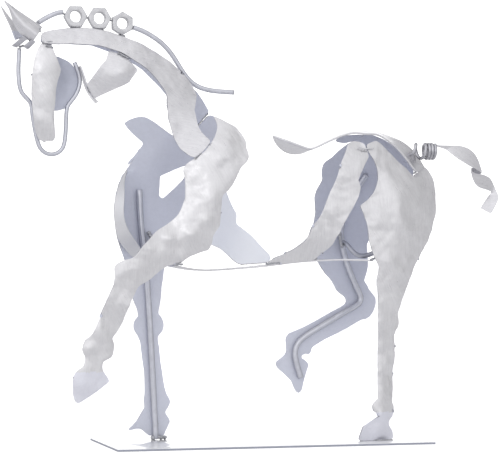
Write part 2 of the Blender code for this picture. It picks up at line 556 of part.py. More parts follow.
def base_plate(mat):
    """The flat plate that the statue stands on."""
    block = bmesh.new()
    bmesh.ops.create_cube(block, size=1.0)
    bmesh.ops.scale(block, vec=(PLATE_LENGTH * MM, PLATE_WIDTH * MM, PLATE_THICKNESS * MM),
                    verts=block.verts)
    bmesh.ops.translate(block, vec=(0, 0, PLATE_THICKNESS / 2 * MM), verts=block.verts)
    mesh = bpy.data.meshes.new("base_plate")
    block.to_mesh(mesh)
    block.free()
    item = add("base_plate", mesh, mat)
    edge = item.modifiers.new("edge", "BEVEL")
    edge.width = 0.25 * MM
    edge.segments = 1
    edge.limit_method = "ANGLE"


def crest(x):
    """Height of the crest of the neck at a real x."""
    edge = [real(*point) for point in NEAR_NECK_OUTLINE[:13]]
    return float(np.interp(x, [point[0] for point in edge], [point[1] for point in edge]))


def nut_places():
    """Centre and turn of each mane nut: side by side, seated on the crest."""
    radius = NUT_FLATS / math.sqrt(3)
    places = []
    x = real(*FIRST_NUT[0])[0]
    reach = 0.0
    for space, seat, turn in NUT_ROW:
        wide, deep = (NUT_FLATS / 2, radius) if turn else (radius, NUT_FLATS / 2)
        if places:
            x += reach + space + wide
        places.append((x, crest(x) + seat + deep, turn))
        reach = wide
    return places


def mane_nuts(mat):
    """Three hexagon nuts stood on the crest of the neck."""
    for number, (x, z, turn) in enumerate(nut_places(), 1):
        name = f"mane_nut_{number}"
        radius = NUT_FLATS / math.sqrt(3)
        corners = []
        for k in range(6):
            angle = math.radians(60 * k + turn)
            corners.append((x + radius * math.cos(angle), z + radius * math.sin(angle)))
        nut = prism(name, corners, -NUT_HEIGHT / 2, NUT_HEIGHT / 2, mat)
        bore = bmesh.new()
        bmesh.ops.create_cone(bore, cap_ends=True, segments=24, radius1=NUT_BORE / 2 * MM,
                              radius2=NUT_BORE / 2 * MM, depth=NUT_HEIGHT * 2 * MM)
        mesh = bpy.data.meshes.new(name + "_bore")
        bore.to_mesh(mesh)
        bore.free()
        cutter = add(name + "_bore", mesh, mat, CUTTERS)
        cutter.rotation_euler = (math.pi / 2, 0, 0)
        cutter.location = (x * MM, 0, z * MM)
        cutter.hide_render = True
        cutter.display_type = "WIRE"
        cut(nut, cutter)


def mane_rods(mat):
    """The rods before and behind the nuts, which end at the outer nuts."""
    nuts = nut_places()
    x, z, _ = nuts[-1]
    start = (x + NUT_FLATS / 2 + GAP + ROD_END_ROOM, 0, z - NUT_FLATS / 6)
    clear = (start[0] + NUT_FLATS * 0.58, 0, start[2] - NUT_FLATS * 0.205)
    rod("mane_rod_rear", [start, clear] + [at(x, 0, z) for x, z in MANE_REAR_ROUTE], MANE_ROD,
        mat, step=7.0)
    x, z, _ = nuts[0]
    end = (x - NUT_FLATS / math.sqrt(3) - GAP - ROD_END_ROOM / 2, 0, z + NUT_FLATS / 5)
    clear = (end[0] - NUT_FLATS / 5, 0, end[2] - NUT_FLATS / 60)
    rod("mane_rod_front", [at(x, 0, z) for x, z in MANE_FRONT_ROUTE] + [clear, end], MANE_ROD,
        mat)


def behind(surface, side, x, z, diameter):
    """The y of a rod's centre that lies against the inner face of a sheet."""
    room = SHEET / 2 + GAP + FACET_ROOM + diameter / 2
    return side * (surface.depth(x, z) - room)


def leg_rods(mat):
    """Rods behind the two far legs, and the brace between the hind legs."""
    points = [at(x, behind(far_front, 1, x, z, LEG_ROD), z) for x, z in FAR_FORE_ROUTE]
    rod("far_foreleg_rod", points, LEG_ROD, mat)
    points = [at(x, behind(far_rear, 1, x, z, LEG_ROD), z) for x, z in FAR_HIND_ROUTE]
    rod("far_hind_leg_rod", points, LEG_ROD, mat)
    (x, z), (end_x, end_z) = BRACE_ENDS
    start_y = behind(far_rear, 1, x, z, LEG_ROD) - LEG_ROD / 2 - GAP - FACET_ROOM
    end_y = behind(near_rear, -1, end_x, end_z, 0.0)
    across = end_y - start_y
    points = [at(x, start_y, z), at(x + 0.6, start_y + across * 0.16, z - 2.5),
              at(x + 2.6, start_y + across * 0.3, z - 8),
              at(x + 5, start_y + across * 0.43, z - 12),
              at(x + 7.4, start_y + across * 0.58, z - 12.8),
              at(end_x - 1.4, start_y + across * 0.82, end_z - 2.2), at(end_x, end_y, end_z)]
    rod("hind_brace_rod", points, BRACE_ROD, mat, step=5.0)


def strips(mat):
    """The back and belly strips, with both faces bare."""
    half = BELLY_WIDTH / 2
    near_front_y = -near_front.depth(-84, 159.5) + half + SHEET / 2 + GAP
    near_rear_y = -near_rear.depth(95, 162) + half + SHEET / 2 + GAP
    ribbon("belly_strip", laid([
        (-86, near_front_y, 157.1, 0, half, 0), (-72, near_front_y * 0.75, 154.4, 0, half, 0),
        (-52, near_front_y * 0.35, 153, 0, half, 0), (-19.5, 0, 155, 0, half, 0),
        (1, 0, 156.7, 0, half, 0), (27, 0, 160, 0, half, 0), (51, -1, 161.6, 0, half, 0),
        (72, near_rear_y * 0.45, 162.3, 0, half, 0), (94, near_rear_y, 161.6, 0, half, 0)]),
        mat, step=8.0)
    wide = BACK_WIDTH / 2
    side = BACK_SHIFT
    ribbon("back_strip", laid([
        (11.5, side, 271, 1.4, wide * 0.30, -1.6), (16, side, 267.5, 1.4, wide * 0.62, -3.0),
        (22, side, 264.4, 1.0, wide * 0.85, -3.8), (30, side, 261.6, 0.6, wide, -3.4),
        (38, side, 260, 0, wide, -2), (46, side, 261, 0, wide, -0.6),
        (60, side, 268.3, 0, wide, 0), (80, side, 276, 0, wide, 0.4),
        (96, side, 276.4, 1.0, wide, 1.8), (110, side, 273.9, 3.0, wide, 2.2),
        (126.3, side, 265.2, 4.8, wide, 3.5), (136, side, 256.5, 6.5, wide, 3.5),
        (141.5, side, 250.3, 7.5, wide, 3.2), (147, side, 243.2, 8.0, wide, 2.0)]),
        mat, step=8.0)
    tail = TAIL_WIDTH / 2
    rows = [
        (165.5, 267.3, 0, tail, 0), (174, 265.2, 0.4, tail * 0.97, 0.9),
        (181, 262.2, 1.8, tail * 0.75, 3.4), (189, 258.2, 2.6, tail * 0.55, 4.7),
        (197, 253.2, 3.2, tail * 0.4, 4.8), (202.5, 247.8, 5.2, tail * 0.3, 2.4),
        (205.3, 242.6, 5.4, tail * 0.45, -1.6), (208.2, 237.0, 4.8, tail * 0.6, 0.6),
        (212.6, 231.4, 5.0, tail * 0.5, 2.6), (218, 227.2, 4.6, tail * 0.6, 2.0),
        (221.6, 222.4, 3.6, tail * 0.8, 0.4), (220.2, 216.2, 4.9, tail * 0.55, -1.8),
        (215.4, 208.8, 5.0, tail * 0.45, -2.6)]
    places = coil_places()
    start_x = places[-1][1] + COIL_WIRE / 2 + 0.5
    start_z = real(*COIL_START[0])[1] + COIL_OUTER / 2 - COIL_WIRE + 0.4
    ribbon("tail_ribbon", [
        (start_x + (x - rows[0][0]) * SHARE, 0, start_z + (z - rows[0][1]) * SHARE, *half_vector)
        for x, z, *half_vector in rows], mat, step=4.0)
    strap = STRAP_WIDTH / 2
    beside = drawn(FACE_WIRE / 2 + STRIP / 2 + GAP)
    ribbon("throat_strap", laid([
        (-167.1 + beside, 0, 330.8, 0, strap, 0), (-164.9 + beside, 0, 325.5, 0, strap, 0),
        (-159.6, 0, 317, 0, strap, 0), (-157.4, 0, 311, 0, strap, 0),
        (-153.9, 0, 305, 0, strap, 0), (-149, 0, 299.5, 0, strap, 0)]), mat, step=6.0)


def coil_places():
    """Turn, real x and share of the radius along the coil: one loose turn, then tight ones."""
    start = real(*COIL_START[0])[0]
    tight = COIL_WIRE + GAP + COIL_PITCH_ROOM
    places = [(0.0, start, 0.5), (0.25, start + 4.3, 0.75), (0.5, start + 7.5, 1.0),
              (1.0, start + 12.5, 1.0), (1.5, start + 16.3, 1.0)]
    while places[-1][0] < 4.4:
        turn, x, share = places[-1]
        places.append((turn + 0.5, x + tight / 2, share))
    return places


def tail_coil(mat):
    """A coil at the root of the tail: one loose turn, then three tight ones."""
    radius = (COIL_OUTER - COIL_WIRE) / 2
    axis_z = real(*COIL_START[0])[1]
    per_turn = 12
    places = coil_places()
    points = []
    for (t0, x0, s0), (t1, x1, s1) in zip(places, places[1:]):
        count = max(1, round((t1 - t0) * per_turn))
        for k in range(count):
            f = k / count
            turn = t0 + (t1 - t0) * f
            angle = 2 * math.pi * turn
            reach = radius * (s0 + (s1 - s0) * f)
            points.append((x0 + (x1 - x0) * f, -reach * math.sin(angle),
                           axis_z - reach * math.cos(angle)))
    rod("tail_coil", points, COIL_WIRE, mat, sides=2)


def ear_clips(mat):
    """Two short bars that join the ears to the face wire."""
    near_y = -(FACE_WIRE / 2 + GAP)
    prism("ear_clip_front", [real(-223.3, 347.5), real(-218.9, 346.0), real(-210.6, 353.0),
                             real(-213.9, 355.6)], -5.0, 5.0, mat)
    prism("ear_clip_rear", [real(-213.5, 347), real(-209.5, 344.5), real(-203.6, 350.6),
                            real(-207.4, 352.4)], near_y - 4.0, near_y + 5.0, mat)


def crest_tab(mat):
    """A small tab between the two sheets of the neck, over the throat."""
    room = SHEET / 2 + GAP + CREST_TAB_ROOM
    corners = [point for point in CREST_OUTLINE]
    near = min(min(near_neck.depth(x, z), throat.depth(x, z)) for x, z in corners) - room
    far = min(far_neck.depth(x, z) for x, z in corners) - room
    prism("crest_tab", [real(x, z) for x, z in corners], -near, far, mat)


def build():
    """Make every piece."""
    start()
    near_paint = material("silver_paint_brushed", (0.72, 0.72, 0.74), 0.85, 0.34)
    far_paint = material("silver_paint_matt", (0.55, 0.57, 0.64), 0.7, 0.5)
    rods_paint = material("silver_paint_rods", (0.62, 0.62, 0.64), 0.85, 0.36)
    nut_paint = material("silver_paint_nuts", (0.6, 0.6, 0.62), 0.9, 0.33)
    plate_paint = material("silver_paint_plate", (0.82, 0.82, 0.84), 0.6, 0.22)

    base_plate(plate_paint)
    bent_sheet("near_foreleg_sheet", NEAR_FRONT_OUTLINE, near_front, -1, near_paint)
    bent_sheet("near_hind_leg_sheet", NEAR_REAR_OUTLINE, near_rear, -1, near_paint)
    bent_sheet("near_flank_sheet", FLANK_OUTLINE, flank, -1, near_paint)
    shoulder = bent_sheet("far_foreleg_sheet", FAR_FRONT_OUTLINE, far_front, 1, far_paint)
    window = prism("chest_window", [real(x, z) for x, z in CHEST_WINDOW],
                   far_front.depth(-72, 232) / 2, far_front.depth(-72, 232) * 1.5, far_paint,
                   CUTTERS)
    cut(shoulder, window)

    def inside_shoulder(x, z, depth):
        """Keep the rib plate clear of the shoulder that it is welded inside."""
        return min(depth, far_front.depth(x, z) - SHEET - GAP - FACET_ROOM)

    bent_sheet("rib_plate", RIB_OUTLINE, rib, 1, far_paint, limit=inside_shoulder)
    bent_sheet("far_hind_leg_sheet", FAR_REAR_OUTLINE, far_rear, 1, far_paint)
    bent_sheet("near_neck_sheet", NEAR_NECK_OUTLINE, near_neck, -1, near_paint)
    bent_sheet("far_neck_sheet", FAR_NECK_OUTLINE, far_neck, 1, far_paint)
    bent_sheet("throat_plate", THROAT_OUTLINE, throat, -1, near_paint, cell=8.0)
    bent_sheet("face_plate", FACE_OUTLINE, face, -1, near_paint, cell=8.0)
    bent_sheet("cheek_plate", CHEEK_OUTLINE, cheek, 1, far_paint, cell=8.0)
    bent_sheet("near_ear", NEAR_EAR_OUTLINE, near_ear, -1, near_paint, cell=6.0)
    bent_sheet("far_ear", FAR_EAR_OUTLINE, far_ear, 1, near_paint, cell=6.0)
    bent_sheet("loin_tab", LOIN_OUTLINE, loin, 1, far_paint)
    crest_tab(far_paint)

    strips(near_paint)
    leg_rods(rods_paint)
    mane_rods(rods_paint)
    rod("face_wire", [at(x, 0, z) for x, z in FACE_ROUTE], FACE_WIRE, rods_paint)
    mane_nuts(nut_paint)
    tail_coil(rods_paint)
    ear_clips(rods_paint)


build()
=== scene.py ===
"""Dresses the welded sheet metal horse: silver paint over hammered and brushed steel."""

import json
import logging
import math
from dataclasses import dataclass
from enum import Enum, IntEnum

import bmesh
import bpy
import numpy as np
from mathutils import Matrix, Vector

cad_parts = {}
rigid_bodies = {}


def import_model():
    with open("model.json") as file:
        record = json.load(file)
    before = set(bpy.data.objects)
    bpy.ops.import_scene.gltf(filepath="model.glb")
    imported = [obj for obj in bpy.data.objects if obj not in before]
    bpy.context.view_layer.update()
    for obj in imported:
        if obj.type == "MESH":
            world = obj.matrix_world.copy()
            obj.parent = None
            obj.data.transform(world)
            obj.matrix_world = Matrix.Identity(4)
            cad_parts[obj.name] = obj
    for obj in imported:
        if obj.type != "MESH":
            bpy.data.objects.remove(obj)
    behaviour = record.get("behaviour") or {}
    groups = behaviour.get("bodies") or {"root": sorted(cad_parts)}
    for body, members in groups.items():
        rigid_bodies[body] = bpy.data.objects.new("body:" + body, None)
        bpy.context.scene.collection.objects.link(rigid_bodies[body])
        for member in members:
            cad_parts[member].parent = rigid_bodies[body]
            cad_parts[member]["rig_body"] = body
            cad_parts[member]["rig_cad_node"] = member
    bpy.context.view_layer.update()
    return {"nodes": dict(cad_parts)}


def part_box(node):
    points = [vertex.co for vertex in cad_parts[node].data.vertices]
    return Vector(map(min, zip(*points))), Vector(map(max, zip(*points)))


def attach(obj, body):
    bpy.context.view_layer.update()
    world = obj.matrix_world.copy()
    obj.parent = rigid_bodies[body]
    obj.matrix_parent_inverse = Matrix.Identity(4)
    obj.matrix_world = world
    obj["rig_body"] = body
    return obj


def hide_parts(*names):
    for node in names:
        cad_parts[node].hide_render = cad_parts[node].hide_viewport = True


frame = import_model()
LOG = logging.getLogger("horse")
MM = 0.001
MERGE_MM = 0.002
SQUARE_DEGREES = 60
LAID_ACROSS = (math.pi / 2, 0, 0)
Piece = bpy.types.Object
Paint = bpy.types.Material
Socket = bpy.types.NodeSocket
Colour = tuple[float, float, float]
Place = tuple[float, float, float]
Swell = tuple[float, float, float]
Boss = tuple[float, float, float, float]
Pull = tuple[float, float, float, float, float]
Seam = tuple[float, list[Place]]


class Side(Enum):
    """The side of the horse that a sheet's outer face looks to."""

    NEAR = -1
    FAR = 1


class Corners(Enum):
    """What subdivision does with the corners of an open edge, as Blender names it."""

    KEPT = "PRESERVE_CORNERS"
    ROUNDED = "ALL"


class Face(IntEnum):
    """Material slots of a bent sheet."""

    OUTER = 0
    INNER = 1
    RIM = 2
    HOOF = 3


def leave_edit_mode() -> None:
    """Go back to object mode with nothing selected."""
    if bpy.context.mode != "OBJECT":
        bpy.ops.object.mode_set(mode="OBJECT")
    bpy.ops.object.select_all(action="DESELECT")


def take(piece: Piece) -> None:
    """Select one piece alone and make it active."""
    leave_edit_mode()
    piece.hide_set(False)
    piece.select_set(True)
    bpy.context.view_layer.objects.active = piece


def apply_modifier(piece: Piece, kind: str, **values: object) -> None:
    """Add one modifier, set it and apply it.

    Args:
        piece: the piece that gets it.
        kind: Blender's name of the modifier.
        values: settings by name.
    """
    take(piece)
    modifier = piece.modifiers.new(kind.lower(), kind)
    for name, value in values.items():
        setattr(modifier, name, value)
    bpy.ops.object.modifier_apply(modifier=modifier.name)


def subdivide(piece: Piece, levels: int, corners: Corners = Corners.KEPT) -> None:
    """Round a piece off, dividing each face so many times."""
    apply_modifier(piece, "SUBSURF", levels=levels, render_levels=levels,
                   boundary_smooth=corners.value)


def soften(piece: Piece, width_mm: float, segments: int, degrees: float) -> None:
    """Bevel the edges that are sharper than an angle, with so many faces across."""
    apply_modifier(piece, "BEVEL", width=width_mm * MM, segments=segments, limit_method="ANGLE",
                   angle_limit=math.radians(degrees))


def dent(piece: Piece, size_mm: float, depth_mm: float, direction: str = "NORMAL") -> None:
    """Make a surface uneven with a soft noise field.

    Args:
        piece: the piece to dent.
        size_mm: the width of a dent.
        depth_mm: from the deepest to the highest place.
        direction: Blender's name of the way that the surface moves.
    """
    clouds = bpy.data.textures.new(f"clouds_{size_mm:g}mm", "CLOUDS")
    clouds.noise_scale = size_mm * MM
    apply_modifier(piece, "DISPLACE", texture=clouds, texture_coords="LOCAL",
                   direction=direction, strength=depth_mm * MM, mid_level=0.5)


def thicken(piece: Piece, wall_mm: float, edge_mm: float) -> None:
    """Give an open sheet a wall about its middle, with softened edges."""
    apply_modifier(piece, "SOLIDIFY", thickness=wall_mm * MM, offset=0.0)
    soften(piece, edge_mm, 2, 55)


def prepare_cage(piece: Piece, quad_degrees: float, sharp_degrees: float,
                 crease: float, grow_mm: float) -> None:
    """Ready a copied solid for subdivision: quads, creased edges and a fuller skin.

    Args:
        piece: the copied solid.
        quad_degrees: how bent two triangles may be and still make one quad.
        sharp_degrees: edges sharper than this are creased.
        crease: how firmly they are kept, up to 1.
        grow_mm: how far the skin moves outwards.
    """
    bpy.ops.object.mode_set(mode="EDIT")
    bpy.ops.mesh.select_all(action="SELECT")
    bpy.ops.mesh.tris_convert_to_quads(face_threshold=math.radians(quad_degrees),
                                       shape_threshold=math.radians(SQUARE_DEGREES))
    bpy.ops.mesh.select_all(action="DESELECT")
    bpy.ops.mesh.select_mode(type="EDGE")
    bpy.ops.mesh.edges_select_sharp(sharpness=math.radians(sharp_degrees))
    bpy.ops.transform.edge_crease(value=crease)
    bpy.ops.mesh.select_all(action="SELECT")
    bpy.ops.transform.shrink_fatten(value=grow_mm * MM)
    bpy.ops.object.mode_set(mode="OBJECT")


def laid_sheet(name: str, rows: list[tuple[Place, ...]], columns: int = 4) -> Piece:
    """Lay a smooth sheet through rows that each run from one edge to the other.

    Args:
        name: name of the sheet.
        rows: the points of each row at even steps, in millimetres.
        columns: faces across the sheet.

    Returns:
        The sheet, without a wall yet.
    """
    leave_edit_mode()
    bpy.ops.mesh.primitive_grid_add(x_subdivisions=len(rows) - 1, y_subdivisions=columns, size=2)
    sheet = bpy.context.active_object
    sheet.name = sheet.data.name = name
    for vertex in sheet.data.vertices:
        row = rows[round((vertex.co.x + 1) / 2 * (len(rows) - 1))]
        way = (vertex.co.y + 1) / 2 * (len(row) - 1)
        step = min(int(way + 1e-6), len(row) - 2)
        vertex.co = Vector(row[step]).lerp(Vector(row[step + 1]), way - step) * MM
    subdivide(sheet, 2)
    return sheet


def join(target: Piece, parts: list[Piece]) -> None:
    """Join parts to a piece, which keeps its name.

    Args:
        target: the piece.
        parts: what becomes part of it.
    """
    take(target)
    for part in parts:
        part.select_set(True)
    bpy.ops.object.join()


def copy_of(node: str) -> Piece:
    """Copy a CAD node as a merged mesh that can be reworked.

    Args:
        node: the CAD node.

    Returns:
        The copy, on no body yet.
    """
    take(frame["nodes"][node])
    bpy.ops.object.duplicate()
    piece = bpy.context.active_object
    piece.name = piece.data.name = node + "_metal"
    piece.parent = None
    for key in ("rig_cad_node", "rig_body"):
        if key in piece:
            del piece[key]
    piece.data.materials.clear()
    bpy.ops.object.mode_set(mode="EDIT")
    bpy.ops.mesh.select_all(action="SELECT")
    bpy.ops.mesh.remove_doubles(threshold=MERGE_MM * MM)
    bpy.ops.object.mode_set(mode="OBJECT")
    return piece


def settle(piece: Piece, degrees: float, slot: str, *nodes: str) -> None:
    """Shade a finished piece and put it on the statue.

    Args:
        piece: the finished piece.
        degrees: edges sharper than this stay sharp in the shading.
        slot: the record's material slot, not used.
        nodes: the CAD nodes that it stands for.
    """
    take(piece)
    bpy.ops.object.shade_smooth_by_angle(angle=math.radians(degrees))
    leave_edit_mode()
    if nodes:
        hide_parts(*nodes)
    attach(piece, "root")
    LOG.info("%s: %d faces", piece.name, len(piece.data.polygons))


class Wiring:
    """A node tree that is being wired, of a material or of a group."""

    def __init__(self, tree: bpy.types.NodeTree) -> None:
        """Keep the tree."""
        self.tree = tree

    def node(self, kind: str, settings: dict[str, object] | None = None,
             **inputs: object) -> bpy.types.Node:
        """Add a node.

        Args:
            kind: Blender's node type.
            settings: values of the node's own settings.
            inputs: what fill gets, with _ for a space in a name.

        Returns:
            The new node.
        """
        made = self.tree.nodes.new(kind)
        for name, value in (settings or {}).items():
            setattr(made, name, value)
        self.fill(made, **inputs)
        return made

    def fill(self, node: bpy.types.Node, **inputs: object) -> None:
        """Set a node's inputs, or link those that are given as sockets.

        Args:
            node: the node.
            inputs: values or sockets, by the input's name or by in and its number.
        """
        for name, value in inputs.items():
            numbered = name.startswith("in") and name[2:].isdigit()
            socket = node.inputs[int(name[2:]) if numbered else name.replace("_", " ")]
            if isinstance(value, Socket):
                self.link(value, socket)
            else:
                socket.default_value = value

    def link(self, source: Socket, target: Socket) -> None:
        """Join an output to an input."""
        self.tree.links.new(source, target)

    def math(self, operation: str, *values: object) -> Socket:
        """Add a math node and return its output."""
        inputs = {f"in{at}": value for at, value in enumerate(values)}
        return self.node("ShaderNodeMath", {"operation": operation}, **inputs).outputs[0]

    def spread(self, value: Socket, low: float, high: float) -> Socket:
        """Widen the values between two limits to the whole span from 0 to 1."""
        return self.node("ShaderNodeMapRange", Value=value, From_Min=low,
                         From_Max=high).outputs["Result"]


class SurfaceGroups:
    """Shared shader node groups: brush grain, hammer marks and mottled paint."""

    def __init__(self) -> None:
        """Build the three groups."""
        self.grain = self.build_grain()
        self.hammer = self.build_hammer()
        self.mottle = self.build_mottle()

    @staticmethod
    def open_group(name: str, inputs: dict[str, float],
                   output: str) -> tuple[Wiring, dict[str, Socket], Socket]:
        """Start a group with a Vector input and some numbers.

        Args:
            name: name of the group.
            inputs: number inputs with their defaults.
            output: name of the one output.

        Returns:
            The wiring, the input sockets by name, and the output socket.
        """
        tree = bpy.data.node_groups.new(name, "ShaderNodeTree")
        tree.interface.new_socket("Vector", in_out="INPUT", socket_type="NodeSocketVector")
        for label, value in inputs.items():
            made = tree.interface.new_socket(label, in_out="INPUT", socket_type="NodeSocketFloat")
            made.default_value = value
        tree.interface.new_socket(output, in_out="OUTPUT", socket_type="NodeSocketFloat")
        wiring = Wiring(tree)
        ends = wiring.node("NodeGroupInput")
        out = wiring.node("NodeGroupOutput")
        return wiring, {socket.name: socket for socket in ends.outputs}, out.inputs[0]

    def build_grain(self) -> bpy.types.NodeTree:
        """Fine parallel strokes, as a grinder leaves them, in the plane of the sheets."""
        wiring, ends, out = self.open_group(
            "grinder_strokes", {"Turn": 0.0, "Across": 700.0, "Along": 110.0}, "Height")
        first = self.strokes(wiring, ends, ends["Turn"])
        second = self.strokes(wiring, ends, wiring.math("ADD", ends["Turn"], 0.5))
        patches = wiring.node("ShaderNodeTexNoise", Vector=ends["Vector"], Scale=24.0, Detail=1.0)
        mask = wiring.spread(patches.outputs["Fac"], 0.44, 0.56)
        mixed = wiring.node("ShaderNodeMix", {"data_type": "FLOAT"}, in0=mask, in2=first,
                            in3=second)
        wiring.link(mixed.outputs[0], out)
        return wiring.tree

    @staticmethod
    def strokes(wiring: Wiring, ends: dict[str, Socket], angle: Socket) -> Socket:
        """One set of straight strokes, turned about the Y axis.

        Args:
            wiring: the group's wiring.
            ends: the group's input sockets by name.
            angle: socket of the turn in radians.

        Returns:
            The socket of the strokes' height.
        """
        axis = wiring.node("ShaderNodeVectorRotate", {"rotation_type": "Y_AXIS"},
                           Vector=ends["Vector"], Angle=angle)
        size = wiring.node("ShaderNodeCombineXYZ", X=ends["Across"], Y=ends["Along"],
                           Z=ends["Along"])
        stretched = wiring.node("ShaderNodeVectorMath", {"operation": "MULTIPLY"},
                                in0=axis.outputs[0], in1=size.outputs[0])
        return wiring.node("ShaderNodeTexNoise", Vector=stretched.outputs[0], Scale=1.0,
                           Detail=3.0, Roughness=0.62).outputs["Fac"]

    def build_hammer(self) -> bpy.types.NodeTree:
        """Shallow round marks of a hammer, with softer unevenness between them."""
        wiring, ends, out = self.open_group("hammer_marks", {"Size": 150.0}, "Height")
        cells = wiring.node("ShaderNodeTexVoronoi", {"feature": "SMOOTH_F1"},
                            Vector=ends["Vector"], Scale=ends["Size"], Smoothness=0.8)
        soft = wiring.node("ShaderNodeTexNoise", Vector=ends["Vector"], Scale=ends["Size"],
                           Detail=2.0)
        both = wiring.math("MULTIPLY_ADD", cells.outputs["Distance"], 0.6, soft.outputs["Fac"])
        wiring.link(both, out)
        return wiring.tree

    def build_mottle(self) -> bpy.types.NodeTree:
        """Uneven paint: thick and thin places at two scales."""
        wiring, ends, out = self.open_group("uneven_paint", {"Scale": 60.0}, "Amount")
        wide = wiring.node("ShaderNodeTexNoise", Vector=ends["Vector"], Scale=ends["Scale"],
                           Detail=4.0, Roughness=0.55)
        fine = wiring.node("ShaderNodeTexNoise", Vector=ends["Vector"],
                           Scale=wiring.math("MULTIPLY", ends["Scale"], 14.0), Detail=2.0)
        both = wiring.math("MULTIPLY_ADD", fine.outputs["Fac"], 0.35,
                           wiring.math("MULTIPLY", wide.outputs["Fac"], 0.65))
        wiring.link(both, out)
        return wiring.tree


@dataclass(frozen=True)
class SilverFinish:
    """Silver paint on steel, with its grain, hammer marks and mottling.

    Sizes of the patterns are in counts per metre and bump depths in metres.
    """

    name: str
    light: Colour
    dark: Colour
    metallic: float
    roughness: float
    roughness_swing: float = 0.12
    grain_depth: float = 0.0
    grain_turn: float = 0.0
    grain_across: float = 700.0
    grain_along: float = 110.0
    grain_share: float = 0.6
    hammer_depth: float = 0.0
    hammer_size: float = 150.0
    mottle_scale: float = 60.0
    mottle_depth: float = 0.00004
    # outline: how strongly the paint darkens where it turns away from the eye, as painted shade
    # along edges.
    outline: float = 0.0
    outline_colour: Colour = (0.16, 0.16, 0.19)
    coat: float = 0.0
    coat_roughness: float = 0.2

    def material(self, groups: SurfaceGroups) -> Paint:
        """Build the material.

        Args:
            groups: the shared node groups.

        Returns:
            The material.
        """
        made = bpy.data.materials.new(self.name)
        made.use_nodes = True
        wiring = Wiring(made.node_tree)
        shader = made.node_tree.nodes["Principled BSDF"]
        where = wiring.node("ShaderNodeTexCoord").outputs["Object"]
        mottle = wiring.node("ShaderNodeGroup", {"node_tree": groups.mottle}, Vector=where,
                             Scale=self.mottle_scale).outputs[0]
        share = wiring.spread(mottle, 0.34, 0.66)
        height = wiring.math("MULTIPLY", mottle, self.mottle_depth)
        rough_source = mottle
        if self.grain_depth:
            grain = wiring.node("ShaderNodeGroup", {"node_tree": groups.grain}, Vector=where,
                                Turn=self.grain_turn, Across=self.grain_across,
                                Along=self.grain_along).outputs[0]
            height = wiring.math("ADD", height, wiring.math("MULTIPLY", grain, self.grain_depth))
            rough_source = grain
            share = wiring.node("ShaderNodeMix", {"data_type": "FLOAT"}, in0=self.grain_share,
                                in2=share, in3=wiring.spread(grain, 0.36, 0.64)).outputs[0]
        if self.hammer_depth:
            hammer = wiring.node("ShaderNodeGroup", {"node_tree": groups.hammer}, Vector=where,
                                 Size=self.hammer_size).outputs[0]
            height = wiring.math("ADD", height, wiring.math("MULTIPLY", hammer, self.hammer_depth))
        blend = wiring.node("ShaderNodeMix", {"data_type": "RGBA"}, Factor=share,
                            A=(*self.dark, 1.0), B=(*self.light, 1.0))
        rough = wiring.node("ShaderNodeMapRange", Value=rough_source, From_Min=0.3, From_Max=0.7,
                            To_Min=self.roughness - self.roughness_swing / 2,
                            To_Max=self.roughness + self.roughness_swing / 2)
        bump = wiring.node("ShaderNodeBump", Strength=1.0, Distance=1.0, Height=height)
        wiring.fill(shader, Base_Color=self.outlined(wiring, blend.outputs["Result"]),
                    Metallic=self.metallic, Roughness=rough.outputs["Result"],
                    Normal=bump.outputs["Normal"], Coat_Weight=self.coat,
                    Coat_Roughness=self.coat_roughness)
        return made

    def outlined(self, wiring: Wiring, colour: Socket) -> Socket:
        """Darken the paint where it turns away from the eye: painted shade along the edges of bars
        and nuts.
        """
        if not self.outline:
            return colour
        facing = wiring.node("ShaderNodeLayerWeight", Blend=0.5).outputs["Facing"]
        share = wiring.math("MULTIPLY", wiring.math("POWER", facing, 2.0), self.outline)
        return wiring.node("ShaderNodeMix", {"data_type": "RGBA"}, Factor=share, A=colour,
                           B=(*self.outline_colour, 1.0)).outputs["Result"]


